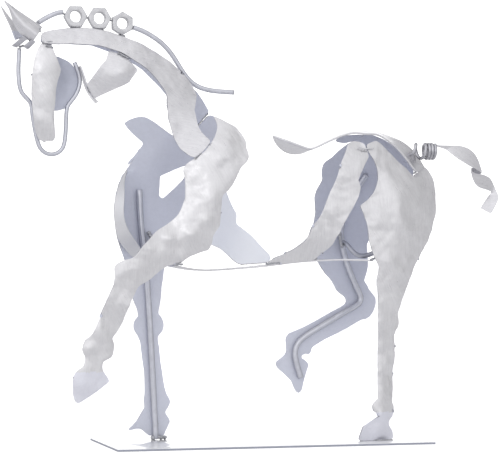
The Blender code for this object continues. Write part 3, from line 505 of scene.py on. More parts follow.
@dataclass
class Paints:
    """All finishes of the statue, built once."""

    groups: SurfaceGroups

    def __post_init__(self) -> None:
        """Build each material."""
        self.brushed = self.paint(
            "brushed_hammered_silver", (0.83, 0.825, 0.835), (0.70, 0.695, 0.71), 0.8, 0.34, 0.14,
            grain_depth=0.00014, grain_across=800.0, grain_along=80.0, grain_share=0.45,
            hammer_depth=0.0003, hammer_size=38.0, mottle_scale=30.0)
        # Smooth paint of the inner faces; its darker blue-grey tone is painted shade.
        self.inner = self.paint(
            "smooth_blue_grey_silver", (0.73, 0.75, 0.84), (0.67, 0.69, 0.775), 0.5, 0.5, 0.06,
            mottle_scale=25.0)
        self.pale = self.paint(
            "pale_blue_grey_silver", (0.93, 0.95, 1.0), (0.90, 0.92, 0.97), 0.4, 0.5, 0.06,
            mottle_scale=25.0)
        self.neck = self.paint(
            "ground_silver", (0.83, 0.825, 0.84), (0.68, 0.675, 0.70), 0.8, 0.33, 0.16,
            grain_depth=0.00014, grain_turn=0.9, grain_across=900.0, grain_along=90.0,
            grain_share=0.4, hammer_depth=0.0004, hammer_size=40.0, mottle_scale=30.0)
        # Rods and nuts get painted shade along their edges.
        self.rods = self.paint(
            "satin_silver_rod", (0.72, 0.73, 0.79), (0.60, 0.61, 0.66), 0.85, 0.34, 0.1,
            mottle_scale=180.0, outline=0.9)
        self.nuts = self.paint(
            "satin_silver_nut", (0.76, 0.76, 0.77), (0.56, 0.56, 0.58), 0.9, 0.27, 0.14,
            mottle_scale=220.0, outline=0.9)
        self.lip = self.paint(
            "satin_light_silver", (0.72, 0.72, 0.74), (0.66, 0.66, 0.68), 0.6, 0.42, 0.1,
            mottle_scale=60.0)
        self.hoof = self.paint(
            "smooth_hoof_silver", (0.84, 0.845, 0.91), (0.78, 0.785, 0.85), 0.6, 0.42, 0.08,
            hammer_depth=0.0001, hammer_size=60.0, mottle_scale=40.0)
        # Dark paint of cut edges, clips and tab, also used as painted shade on the turned back of
        # the tail ribbon.
        self.cut = self.paint(
            "cut_edge_silver", (0.56, 0.56, 0.59), (0.38, 0.38, 0.42), 0.8, 0.4, 0.15,
            mottle_scale=160.0)
        self.cheek = self.paint(
            "shaded_blue_grey_silver", (0.60, 0.62, 0.71), (0.52, 0.54, 0.62), 0.5, 0.45, 0.06,
            mottle_scale=25.0)
        # Upright sides of the base plate: darker blue-grey, painted shade.
        self.plate_edge = self.paint(
            "plate_edge_silver", (0.42, 0.44, 0.52), (0.36, 0.38, 0.45), 0.6, 0.4, 0.1,
            mottle_scale=60.0)
        self.welds = self.paint(
            "weld_bead_silver", (0.62, 0.62, 0.64), (0.3, 0.31, 0.34), 0.85, 0.38, 0.2,
            hammer_depth=0.0006, hammer_size=700.0, mottle_scale=400.0)
        self.plate = self.paint(
            "glossy_pale_silver", (0.93, 0.93, 0.94), (0.90, 0.90, 0.91), 0.0, 0.3, 0.05,
            mottle_scale=12.0, coat=1.0, coat_roughness=0.06)
        # Coil wire: darker mottled paint, with painted shade along its edges.
        self.coil = self.paint(
            "dark_mottled_coil_wire", (0.70, 0.70, 0.73), (0.42, 0.42, 0.45), 0.9, 0.3, 0.12,
            mottle_scale=150.0, outline=0.95)

    def paint(self, *values: object, **pattern: float) -> Paint:
        """Build one material from the values of its SilverFinish."""
        return SilverFinish(*values, **pattern).material(self.groups)


def places_of(piece: Piece) -> np.ndarray:
    """The points of a piece, one a row."""
    places = np.empty(len(piece.data.vertices) * 3)
    piece.data.vertices.foreach_get("co", places)
    return places.reshape(-1, 3)


def put_places(piece: Piece, places: np.ndarray) -> None:
    """Move the points of a piece."""
    piece.data.vertices.foreach_set("co", places.ravel())
    piece.data.update()


def radii_away(places: np.ndarray, x: float, z: float, radius: float) -> np.ndarray:
    """How many radii each point lies from a place in the plane of the sheets."""
    return np.hypot(places[:, 0] - x * MM, places[:, 2] - z * MM) / (radius * MM)


def pull(piece: Piece, pulls: tuple[Pull, ...]) -> None:
    """Draw places of a piece along its plane.

    Args:
        piece: the piece to change.
        pulls: for each place its x, z, radius and the shift in x and z, in millimetres.
    """
    places = places_of(piece)
    shift = np.zeros_like(places)
    for x, z, radius, across, up in pulls:
        share = np.exp(-radii_away(places, x, z, radius) ** 2) * MM
        shift[:, 0] += across * share
        shift[:, 2] += up * share
    put_places(piece, places + shift)


@dataclass
class BentSheet:
    """One sheet of the body: its outer face refined, dented and given its wall again.

    Bosses are places beaten outwards: x, z, radius and height in millimetres. The outer
    face ends at folds sharper than fold_degrees, or where its normal's share towards the
    sheet's side falls under least_facing. Outer faces below hoof_mm take the hoof's paint.
    """

    node: str
    side: Side
    outer: Paint
    inner: Paint
    wall_mm: float = 1.2
    levels: int = 3
    waves_mm: float = 0.9
    wave_size_mm: float = 13.0
    dents_mm: float = 0.5
    dent_size_mm: float = 6.0
    bosses: tuple[Boss, ...] = ()
    pulls: tuple[Pull, ...] = ()
    rim: Paint | None = None
    hoof: Paint | None = None
    hoof_mm: float = 0.0
    edge_mm: float = 0.28
    fold_degrees: float = 66.0
    least_facing: float = 0.25

    def build(self) -> None:
        """Make the dressed sheet."""
        piece = copy_of(self.node)
        self.keep_outer_face(piece)
        subdivide(piece, self.levels, Corners.ROUNDED)
        pull(piece, self.pulls)
        self.beat(piece)
        dent(piece, self.wave_size_mm, self.waves_mm)
        dent(piece, self.dent_size_mm, self.dents_mm)
        for paint in (self.outer, self.inner, self.rim or self.outer, self.hoof):
            if paint:
                piece.data.materials.append(paint)
        apply_modifier(piece, "SOLIDIFY", thickness=self.wall_mm * MM, offset=-1.0,
                       use_even_offset=False, material_offset=Face.INNER,
                       material_offset_rim=Face.RIM)
        soften(piece, self.edge_mm, 2, 55)
        for face in piece.data.polygons if self.hoof else ():
            if face.material_index == Face.OUTER and face.center.z < self.hoof_mm * MM:
                face.material_index = Face.HOOF
        settle(piece, 60, "sheet_paint", self.node)

    def keep_outer_face(self, piece: Piece) -> None:
        """Delete all but the outer layer of the sheet and make its faces quads."""
        take(piece)
        bpy.ops.object.mode_set(mode="EDIT")
        bpy.ops.mesh.select_mode(type="FACE")
        bpy.ops.mesh.select_all(action="DESELECT")
        cage = bmesh.from_edit_mesh(piece.data)
        outward = self.side.value
        seed = max(cage.faces, key=lambda face: face.normal.y * outward * face.calc_area())
        reached, waiting = {seed}, [seed]
        while waiting:
            for edge in waiting.pop().edges:
                if edge.calc_face_angle(0.0) > math.radians(self.fold_degrees):
                    continue
                for face in edge.link_faces:
                    if face not in reached and face.normal.y * outward > self.least_facing:
                        reached.add(face)
                        waiting.append(face)
        for face in cage.faces:
            face.select_set(face not in reached)
        bmesh.update_edit_mesh(piece.data)
        bpy.ops.mesh.delete(type="FACE")
        bpy.ops.mesh.select_all(action="SELECT")
        bpy.ops.mesh.tris_convert_to_quads(face_threshold=math.radians(40),
                                           shape_threshold=math.radians(SQUARE_DEGREES))
        bpy.ops.mesh.delete_loose()
        bpy.ops.object.mode_set(mode="OBJECT")

    def beat(self, piece: Piece) -> None:
        """Push the bosses out of the sheet."""
        places = places_of(piece)
        for x, z, radius, height in self.bosses:
            away = radii_away(places, x, z, radius)
            places[:, 1] += self.side.value * height * MM * np.exp(-2.0 * away ** 2)
        put_places(piece, places)


@dataclass(frozen=True)
class CroupLift:
    """Raises the long edges of the back strip where it runs down over the croup.

    The near edge rises evenly from a place on. The far edge rises in soft swells of x,
    radius and height in millimetres, which die away across the strip.
    """

    near_mm: float = 2.3
    near_from_mm: float = 97.0
    near_side_mm: float = -5.0
    near_edge_mm: float = -13.0
    width_mm: float = 24.0
    swells: tuple[Swell, ...] = ((143.0, 20.0, 5.0), (105.0, 18.0, 2.4))
    near_way: Place = (0.6, 0.0, 0.75)
    far_way: Place = (0.5, 0.0, 0.8)

    def apply(self, piece: Piece) -> None:
        """Move the points of the strip."""
        for vertex in piece.data.vertices:
            if vertex.co.y < self.near_side_mm * MM and vertex.co.x > self.near_from_mm * MM:
                vertex.co += Vector(self.near_way) * self.near_mm * MM
            across = min(max((vertex.co.y / MM - self.near_edge_mm) / self.width_mm, 0.0), 1.0)
            place = vertex.co.x / MM
            for x, radius, height in self.swells:
                share = across * math.exp(-((place - x) / radius) ** 2)
                vertex.co += Vector(self.far_way) * height * share * MM


@dataclass
class Band:
    """A narrow strip with both faces bare, rounded off as it is, or only bevelled."""

    node: str
    finish: Paint
    extra_mm: float
    dents_mm: float = 0.0
    levels: int = 2
    pulls: tuple[Pull, ...] = ()
    lift: CroupLift | None = None
    dent_size_mm: float = 9.0

    def build(self) -> None:
        """Make the dressed strip."""
        piece = copy_of(self.node)
        prepare_cage(piece, 40, 60, crease=1.0, grow_mm=self.extra_mm / 2)
        pull(piece, self.pulls)
        if self.lift:
            self.lift.apply(piece)
        if self.levels:
            subdivide(piece, self.levels)
        else:
            soften(piece, 0.3, 3, 30)
        if self.dents_mm:
            dent(piece, self.dent_size_mm, self.dents_mm, direction="Z")
        piece.data.materials.append(self.finish)
        settle(piece, 50, "sheet_paint", self.node)


@dataclass
class ChestLip:
    """The front border of the far foreleg's sheet, folded back towards the viewer.

    Its back edge lies step_mm nearer the viewer than its front edge, and more by
    slope times the lip's width.
    """

    finish: Paint
    wall_mm: float = 1.2
    step_mm: float = 1.5
    slope: float = 0.22

    def build(self) -> None:
        """Make the lip along the chest's front edge."""
        edge = ((242, -115.4, 34.6, 0.8), (234, -120.9, 31.2, 3.0), (226, -125.0, 26.2, 5.8),
                (218, -127.5, 23.0, 7.7), (210, -129.0, 20.9, 8.0), (202, -129.2, 20.0, 7.9),
                (194, -128.6, 19.8, 8.8), (186, -127.4, 19.8, 11.5), (178, -124.6, 20.2, 14.6),
                (171, -118.4, 21.8, 13.5), (165, -112.0, 23.5, 10.0))
        rows = [((x, y, z), (x + width, y - self.step_mm - self.slope * width, z))
                for z, x, y, width in edge]
        piece = laid_sheet("far_foreleg_sheet_lip", rows)
        piece.data.materials.append(self.finish)
        dent(piece, 12.0, 0.4)
        thicken(piece, self.wall_mm, 0.25)
        settle(piece, 60, "sheet_paint")


@dataclass
class FoldedEar:
    """An ear folded from sheet, laid through rows from its tip to its base.

    Faces below base_below_mm take the base's paint.
    """

    node: str
    finish: Paint
    base_finish: Paint
    rows: list[tuple[Place, ...]]
    base_below_mm: float
    wall_mm: float = 1.4

    def build(self) -> None:
        """Make the dressed ear."""
        piece = laid_sheet(self.node + "_metal", self.rows)
        piece.data.materials.append(self.finish)
        piece.data.materials.append(self.base_finish)
        for face in piece.data.polygons:
            face.material_index = int(face.center.z < self.base_below_mm * MM)
        dent(piece, 6.0, 0.5)
        thicken(piece, self.wall_mm, 0.3)
        settle(piece, 45, "sheet_paint", self.node)


@dataclass
class TailRibbon:
    """The strip that hangs from the coil, twisted over itself twice.

    Faces beyond curl_y_mm and short of curl_x_mm are the turned back of the first curl, darkened
    as painted shade.
    """

    finish: Paint
    curl_finish: Paint
    wall_mm: float = 1.0
    curl_x_mm: float = 211.5
    curl_y_mm: float = 3.4

    def build(self) -> None:
        """Lay the strip through its rows, from the coil to its square end."""
        edges = (
            (163.5, 0.5, 267.4, 163.1, -0.5, 268.1), (168.5, 1.0, 265.6, 168.0, -1.0, 266.4),
            (174.6, 1.5, 264.3, 175.1, -1.5, 266.5), (179.1, -1.0, 260.4, 183.1, 1.0, 267.1),
            (183.9, -2.5, 256.5, 191.1, 2.0, 266.6), (188.9, -3.5, 253.0, 198.0, 3.0, 264.8),
            (194.2, -4.0, 250.0, 203.3, 3.5, 261.4), (199.2, -3.5, 247.5, 206.9, 3.0, 256.6),
            (204.9, -2.0, 245.2, 208.7, 1.0, 249.9), (209.8, 0.5, 242.7, 210.6, 0.0, 243.1),
            (212.1, 3.5, 241.6, 210.8, 3.0, 244.7), (208.8, 5.5, 240.8, 207.7, 5.0, 245.3),
            (204.4, 5.5, 241.8, 203.7, 5.0, 247.5), (201.0, 3.5, 243.1, 201.4, 3.5, 246.4),
            (200.1, 0.0, 241.6, 201.5, 1.5, 242.9), (200.2, -3.0, 237.4, 203.5, 0.0, 241.2),
            (201.7, -4.5, 233.1, 208.5, 1.5, 241.0), (203.9, -5.0, 229.8, 213.8, 3.0, 240.3),
            (208.0, -4.0, 228.0, 218.8, 4.0, 238.5), (213.4, -2.0, 227.1, 222.1, 4.5, 235.0),
            (219.2, 1.0, 225.5, 224.0, 4.0, 229.7), (220.9, 2.5, 224.7, 225.5, 1.5, 225.3),
            (220.0, 3.5, 223.1, 226.7, -1.0, 221.2), (217.8, 3.5, 220.0, 225.7, -2.5, 218.0),
            (214.8, 3.0, 216.5, 223.9, -3.0, 214.3), (212.2, 2.5, 213.0, 221.5, -3.0, 209.6),
            (209.9, 2.0, 209.9, 218.2, -3.0, 204.7),
        )
        rows = [(ends[:3], ends[3:]) for ends in edges]
        piece = laid_sheet("tail_ribbon_metal", rows, columns=3)
        piece.data.materials.append(self.finish)
        piece.data.materials.append(self.curl_finish)
        # The turned back of the curl takes the dark paint: painted shade.
        for face in piece.data.polygons:
            behind = face.center.y > self.curl_y_mm * MM and face.center.x < self.curl_x_mm * MM
            face.material_index = int(behind)
        thicken(piece, self.wall_mm, 0.22)
        settle(piece, 50, "sheet_paint", "tail_ribbon")


@dataclass
class RoundBar:
    """A rod or wire, made round again from its flat-sided solid.

    Subdivision draws each ring of points in, so the solid first grows by as much.
    """

    node: str
    diameter_mm: float
    finish: Paint
    sides: int = 10
    extra_mm: float = 0.15

    def build(self) -> None:
        """Make the dressed rod."""
        piece = copy_of(self.node)
        shrink = (2.0 + math.cos(2.0 * math.pi / self.sides)) / 3.0
        grow = self.diameter_mm / 2.0 * (1.0 / shrink - 1.0) + self.extra_mm
        prepare_cage(piece, 30, 62, crease=0.85, grow_mm=grow)
        subdivide(piece, 2)
        piece.data.materials.append(self.finish)
        settle(piece, 50, "rod_paint", self.node)


@dataclass
class HexNut:
    """A hexagon nut with chamfered corners and the ridges of its thread.

    The drill is wider than the bore by groove_mm all round, and round ridges of the
    radius ridge_mm stand in it, but for plain_mm of the nut's height.
    """

    node: str
    finish: Paint
    flats_mm: float = 18.0
    bore_mm: float = 10.2
    height_mm: float = 7.0
    pitch_mm: float = 1.75
    ridge_mm: float = 0.42
    groove_mm: float = 0.35
    plain_mm: float = 1.2
    chamfer_mm: float = 1.35
    turn_degrees: float = 0.0

    def build(self) -> None:
        """Make the nut where its solid stands."""
        low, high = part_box(self.node)
        centre = (low + high) / 2
        nut = self.drum(centre, 6, self.flats_mm / math.sqrt(3), self.height_mm)
        nut.name = self.node + "_metal"
        bpy.ops.object.mode_set(mode="EDIT")
        bpy.ops.mesh.select_all(action="SELECT")
        across = self.turn_degrees - 30.0
        bpy.ops.transform.rotate(value=math.radians(across), orient_axis="Y",
                                 center_override=centre)
        bpy.ops.object.mode_set(mode="OBJECT")
        self.cut(nut, self.chamfer(centre), "INTERSECT")
        drill = self.drum(centre, 64, self.bore_mm / 2 + self.groove_mm, self.height_mm * 2)
        self.cut(nut, drill, "DIFFERENCE")
        join(nut, self.thread(centre))
        soften(nut, 0.3, 3, 25)
        nut.data.materials.clear()
        nut.data.materials.append(self.finish)
        settle(nut, 40, "nut_paint", self.node)

    @staticmethod
    def drum(centre: Vector, sides: int, radius_mm: float, depth_mm: float) -> Piece:
        """A cylinder that lies across the horse, as the nuts do.

        Args:
            centre: its middle, in metres.
            sides: how many flat sides it has.
            radius_mm: its radius at the corners.
            depth_mm: its length.

        Returns:
            The cylinder.
        """
        leave_edit_mode()
        bpy.ops.mesh.primitive_cylinder_add(vertices=sides, radius=radius_mm * MM,
                                            depth=depth_mm * MM, location=centre,
                                            rotation=LAID_ACROSS)
        bpy.ops.object.transform_apply()
        return bpy.context.active_object

    def chamfer(self, centre: Vector) -> Piece:
        """A turned drum whose bevelled ends cut the corners back."""
        drum = self.drum(centre, 72, self.flats_mm / math.sqrt(3) + 0.1, self.height_mm + 0.02)
        bpy.ops.object.mode_set(mode="EDIT")
        bpy.ops.mesh.select_mode(type="FACE")
        bpy.ops.mesh.select_all(action="DESELECT")
        ends = bmesh.from_edit_mesh(drum.data)
        for face in ends.faces:
            face.select_set(len(face.verts) > 8)
        bmesh.update_edit_mesh(drum.data)
        bpy.ops.mesh.bevel(offset=self.chamfer_mm * MM, offset_type="OFFSET", segments=1,
                           affect="EDGES")
        bpy.ops.object.mode_set(mode="OBJECT")
        return drum

    def thread(self, centre: Vector) -> list[Piece]:
        """Ridges of the thread inside the bore."""
        ridges = []
        count = int((self.height_mm - self.plain_mm) / self.pitch_mm) + 1
        for index in range(count):
            leave_edit_mode()
            place = centre + Vector((0, (index - (count - 1) / 2) * self.pitch_mm * MM, 0))
            bpy.ops.mesh.primitive_torus_add(
                major_segments=64, minor_segments=8,
                major_radius=(self.bore_mm / 2 + self.groove_mm) * MM,
                minor_radius=self.ridge_mm * MM, location=place, rotation=LAID_ACROSS)
            bpy.ops.object.transform_apply()
            ridges.append(bpy.context.active_object)
        return ridges

    @staticmethod
    def cut(nut: Piece, tool: Piece, operation: str) -> None:
        """Cut the nut with a tool and remove the tool."""
        apply_modifier(nut, "BOOLEAN", object=tool, operation=operation, solver="EXACT")
        bpy.data.objects.remove(tool, do_unlink=True)


@dataclass
class WeldSeams:
    """Weld beads: rows of flattened drops, melted together.

    Each seam is a radius and a route, in millimetres. Spacing, scatter and the least and
    greatest size of a drop are shares of the radius.
    """

    name: str
    finish: Paint
    seams: list[Seam]
    fineness_mm: float = 0.32
    spacing: float = 0.95
    scatter: float = 0.1
    sizes: tuple[float, float] = (0.85, 1.12)
    flatness: float = 0.85

    def build(self) -> None:
        """Lay every bead and melt them into one piece."""
        rng = np.random.default_rng(len(self.name))
        drops = []
        for radius, route in self.seams:
            for point in self.along(route, radius * self.spacing):
                leave_edit_mode()
                size = radius * rng.uniform(*self.sizes)
                shift = rng.normal(0.0, radius * self.scatter, 3)
                bpy.ops.mesh.primitive_ico_sphere_add(
                    subdivisions=2, radius=size * MM, location=(np.array(point) + shift) * MM,
                    scale=(1.0, 1.0, self.flatness))
                drops.append(bpy.context.active_object)
        bead = drops[0]
        join(bead, drops)
        bead.name = bead.data.name = self.name
        bpy.ops.object.transform_apply()
        apply_modifier(bead, "REMESH", mode="VOXEL", voxel_size=self.fineness_mm * MM)
        apply_modifier(bead, "SMOOTH", factor=0.5, iterations=2)
        dent(bead, 1.4, 0.35)
        bead.data.materials.append(self.finish)
        settle(bead, 80, "sheet_paint")

    @staticmethod
    def along(route: list[Place], step: float) -> list[np.ndarray]:
        """Points at even steps along a route."""
        points = [np.array(route[0], float)]
        for start, end in zip(route, route[1:]):
            start, end = np.array(start, float), np.array(end, float)
            count = max(1, round(float(np.linalg.norm(end - start)) / step))
            points += [start + (end - start) * k / count for k in range(1, count + 1)]
        return points


@dataclass
class Body:
    """The bent sheets and strips of the horse."""

    paints: Paints

    def build(self) -> None:
        """Dress every sheet and strip."""
        p = self.paints
        sheets = [
            BentSheet("near_foreleg_sheet", Side.NEAR, p.brushed, p.inner, waves_mm=3.0,
                      wave_size_mm=20.0, rim=p.cut, hoof=p.hoof, hoof_mm=66.0,
                      bosses=((-20, 275, 24, -8.0), (-58, 212, 15, 1.4), (-92, 181, 8, 3.2),
                              (-73, 184, 8, 3.0), (-60, 196, 8, 2.6), (-48, 205, 8, 1.4),
                              (-38, 262, 16, 3.0), (-161.5, 86, 6, 1.4), (-132, 152, 8, 1.2),
                              (-45, 240, 10, -1.6), (-66, 224, 9, -1.2), (-82, 172, 8, -1.0))),
            BentSheet("near_hind_leg_sheet", Side.NEAR, p.brushed, p.inner, waves_mm=6.0,
                      wave_size_mm=27.0, rim=p.cut, hoof=p.hoof, hoof_mm=27.0,
                      pulls=((157, 240, 7, -2.0, 3.5), (164, 240, 14, 4.0, 2.5),
                             (176, 218, 22, 2.2, 0.5)),
                      bosses=((112, 238, 14, 1.6), (122, 195, 18, 1.4), (100, 208, 9, 1.0),
                              (105, 25, 8, 1.0), (96, 8, 8, 0.8), (128, 228, 10, -1.0))),
            BentSheet("near_flank_sheet", Side.NEAR, p.brushed, p.inner, waves_mm=4.0,
                      wave_size_mm=22.0, rim=p.cut,
                      bosses=((74, 236, 12, 1.2), (60, 205, 12, 1.2), (82, 255, 9, 0.8))),
            BentSheet("far_foreleg_sheet", Side.FAR, p.brushed, p.inner, waves_mm=0.8,
                      dents_mm=0.15, wave_size_mm=18.0, rim=p.cut),
            BentSheet("far_hind_leg_sheet", Side.FAR, p.brushed, p.inner, waves_mm=0.8,
                      dents_mm=0.15, wave_size_mm=18.0, rim=p.cut),
            BentSheet("rib_plate", Side.FAR, p.brushed, p.pale, waves_mm=0.3, dents_mm=0.1),
            BentSheet("near_neck_sheet", Side.NEAR, p.neck, p.inner, waves_mm=2.5,
                      wave_size_mm=20.0, rim=p.cut),
            BentSheet("far_neck_sheet", Side.FAR, p.neck, p.inner, waves_mm=0.5, dents_mm=0.15),
            BentSheet("throat_plate", Side.NEAR, p.neck, p.inner, waves_mm=0.7, rim=p.cut,
                      bosses=((-128, 326, 9, 2.0), (-140, 312, 9, -1.0))),
            BentSheet("face_plate", Side.NEAR, p.brushed, p.inner, waves_mm=0.8, dents_mm=0.4,
                      dent_size_mm=5.0, rim=p.cut),
            BentSheet("cheek_plate", Side.FAR, p.brushed, p.cheek, waves_mm=0.3, dents_mm=0.1),
            BentSheet("loin_tab", Side.FAR, p.neck, p.inner, waves_mm=0.2, dents_mm=0.1, levels=2,
                      pulls=((93, 271, 8, 8.0, 2.0),)),
        ]
        for sheet in sheets:
            sheet.build()
        Band("back_strip", p.neck, dents_mm=0.3, extra_mm=0.5,
             pulls=((154, 243, 11, 4.5, -4.5),), lift=CroupLift()).build()
        Band("belly_strip", p.neck, dents_mm=0.2, extra_mm=0.5).build()
        Band("throat_strap", p.neck, dents_mm=0.1, extra_mm=0.3).build()
        for node in ("crest_tab", "ear_clip_front", "ear_clip_rear"):
            Band(node, p.cut, levels=0, extra_mm=0.3).build()
        FoldedEar("near_ear", p.neck, p.neck, base_below_mm=0.0, rows=[
            ((-230.7, -5.0, 385.0), (-230.7, -5.5, 384.7), (-230.5, -5.0, 384.6)),
            ((-225.0, -4.5, 381.1), (-225.9, -6.5, 379.7), (-226.2, -4.5, 378.9)),
            ((-218.7, -4.0, 376.9), (-222.2, -8.0, 373.5), (-224.1, -4.0, 371.4)),
            ((-211.9, -3.5, 372.6), (-217.9, -9.5, 367.8), (-221.8, -3.5, 364.5)),
            ((-205.5, -3.0, 368.7), (-213.0, -10.5, 362.8), (-217.6, -3.0, 358.5)),
            ((-201.0, -3.0, 365.7), (-208.0, -11.0, 359.0), (-212.3, -3.0, 353.9)),
            ((-197.9, -3.0, 363.3), (-203.1, -11.0, 355.6), (-206.3, -3.0, 350.3)),
        ]).build()
        # The far ear's base takes the inner paint, whose blue-grey tone is partly painted shade.
        FoldedEar("far_ear", p.neck, p.inner, base_below_mm=361.0, rows=[
            ((-232.3, 8.0, 382.9), (-231.9, 8.0, 382.6)),
            ((-229.1, 8.0, 375.7), (-227.5, 9.0, 376.6)),
            ((-226.1, 8.0, 369.8), (-223.1, 10.0, 371.6)),
            ((-223.4, 8.0, 364.0), (-219.5, 11.0, 366.7)),
            ((-221.6, 8.0, 359.5), (-216.0, 12.0, 361.5)),
            ((-219.3, 8.0, 353.0), (-212.2, 12.0, 355.9)),
        ]).build()
        ChestLip(p.lip).build()
        TailRibbon(p.neck, p.cut).build()


@dataclass
class Fittings:
    """The rods, wires, coil and nuts."""

    paints: Paints

    def build(self) -> None:
        """Dress every bar and nut."""
        p = self.paints
        for node, diameter in (("far_foreleg_rod", 5.0), ("far_hind_leg_rod", 5.0),
                               ("hind_brace_rod", 4.0), ("mane_rod_rear", 4.0),
                               ("mane_rod_front", 4.0), ("face_wire", 3.5)):
            RoundBar(node, diameter, p.rods).build()
        RoundBar("tail_coil", 2.2, p.coil, sides=8, extra_mm=0.5).build()
        for node, turn in (("mane_nut_1", 0.0), ("mane_nut_2", 0.0), ("mane_nut_3", 30.0)):
            HexNut(node, p.nuts, turn_degrees=turn).build()


SEAMS: dict[str, list[Seam]] = {
    "head_welds": [
        (1.5, [(-197, -6.0, 350.5), (-190, -6.5, 350.5)]),
        (1.1, [(-194, -7.5, 347.5), (-189.5, -7.0, 346)]),
        (1.2, [(-200, -5.5, 359.5), (-200.5, -6.0, 362)]),
        (1.2, [(-216.6, 0, 346.2), (-214, 0, 347.5)]),
        (1.2, [(-207.5, -3, 352.5), (-206, -5, 354)]),
        (1.2, [(-215.5, 4.5, 354.5), (-214, 3, 354)]),
        (1.3, [(-166.6, 0, 330.6), (-165.2, 0, 327)]),
        (1.2, [(-157.8, -5.2, 312), (-155.6, -5.4, 308)]),
        (1.2, [(-202.4, -2.2, 367), (-200.5, -1.5, 368.5)]),
    ],
    "neck_welds": [
        (1.1, [(-171.5, 0, 364.6), (-164.5, 0, 364.8)]),
        (1.1, [(-150.5, 0, 364.0), (-143.5, 0, 363.4)]),
        (1.2, [(-128.5, 0, 359.0), (-124.5, 0, 358.4)]),
        (1.0, [(-157.5, -1, 373.4), (-157.5, 1, 373.4)]),
        (1.0, [(-136.2, -1, 371.6), (-136.2, 1, 371.6)]),
        (1.0, [(-117.3, 0, 366.2), (-116.8, 0, 367)]),
        (1.0, [(-178.9, 0, 377.2), (-178.2, 0, 376.2)]),
        (1.1, [(-74.0, -1.2, 329.8), (-70.5, -1.2, 324.8)]),
        (0.9, [(-50.5, -27.2, 265.6), (-56.0, -27.6, 259.6)]),
        (0.8, [(-62.0, -28.0, 254.8), (-68.0, -28.2, 250.6)]),
        (0.8, [(-57.2, 17.0, 279.0), (-51.0, 15.0, 286.2), (-45.6, 13.0, 292.8)]),
        (1.0, [(-132.0, -10.4, 342.6), (-124.0, -11.6, 338.6)]),
    ],
    "belly_welds": [
        (1.2, [(-17, 5.6, 158.6), (-6, 6.6, 159.4), (8, 7.6, 160.9)]),
        (1.1, [(1, -15.0, 158.6), (12, -15.1, 159.6)]),
        (1.2, [(42, -15.2, 162.6), (47, -15.0, 163.2)]),
        (1.2, [(-86, -33.2, 158.0), (-80, -33.0, 158.2)]),
        (1.3, [(92, -33.6, 162.4), (95.5, -34.0, 163.4)]),
    ],
    "hind_welds": [
        (1.8, [(81.0, 23.4, 186.5), (82.0, 22.8, 180.5), (83.2, 22.8, 174.0)]),
        (1.5, [(95.2, -32.6, 168.8), (96.8, -33.4, 170.2)]),
        (1.0, [(82, -33.6, 2.5), (96, -34.2, 2.5), (111, -34.0, 2.5)]),
        (1.2, [(138.0, -1.0, 257.0), (140.4, 0.6, 257.2)]),
        (1.0, [(139.5, -12.6, 240.4), (143.0, -9.0, 241.6)]),
    ],
    "hip_weld": [
        (0.8, [(83.5, -25.4, 262.0), (89, -25.2, 261.0), (97, -25.4, 261.6)]),
        (0.6, [(86.0, -25.4, 259.4), (92.0, -25.2, 259.0)]),
    ],
    "fore_welds": [
        (2.2, [(-91.0, 32.4, 3.4), (-86.0, 31.8, 4.2), (-80.0, 33.0, 3.4)]),
        (2.3, [(-94.5, 33.0, 186.0), (-92.5, 32.5, 182.0), (-94.0, 32.5, 177.5)]),
        (1.2, [(-103.4, 34.4, 222.0), (-103.2, 34.4, 216.0)]),
        (1.2, [(-87.2, 33.8, 10.0), (-87.0, 33.8, 18.0)]),
    ],
}


@dataclass
class Welds:
    """Weld beads where the pieces meet."""

    paints: Paints

    def build(self) -> None:
        """Lay the beads of each part of the horse."""
        for name, seams in SEAMS.items():
            finish = self.paints.lip if name == "hip_weld" else self.paints.welds
            WeldSeams(name, finish, seams).build()


@dataclass
class BasePlate:
    """The flat plate under the hooves."""

    finish: Paint
    # edge: the paint of the upright sides, painted shade.
    edge: Paint
    least_upright: float = 0.3

    def build(self) -> None:
        """Give the plate its soft edges and its gloss, duller on the upright sides, whose darker
        blue-grey paint is painted shade.
        """
        plate = copy_of("base_plate")
        soften(plate, 0.12, 3, 30)
        plate.data.materials.append(self.finish)
        plate.data.materials.append(self.edge)
        for face in plate.data.polygons:
            face.material_index = int(abs(face.normal.z) < self.least_upright)
        settle(plate, 35, "plate_paint", "base_plate")


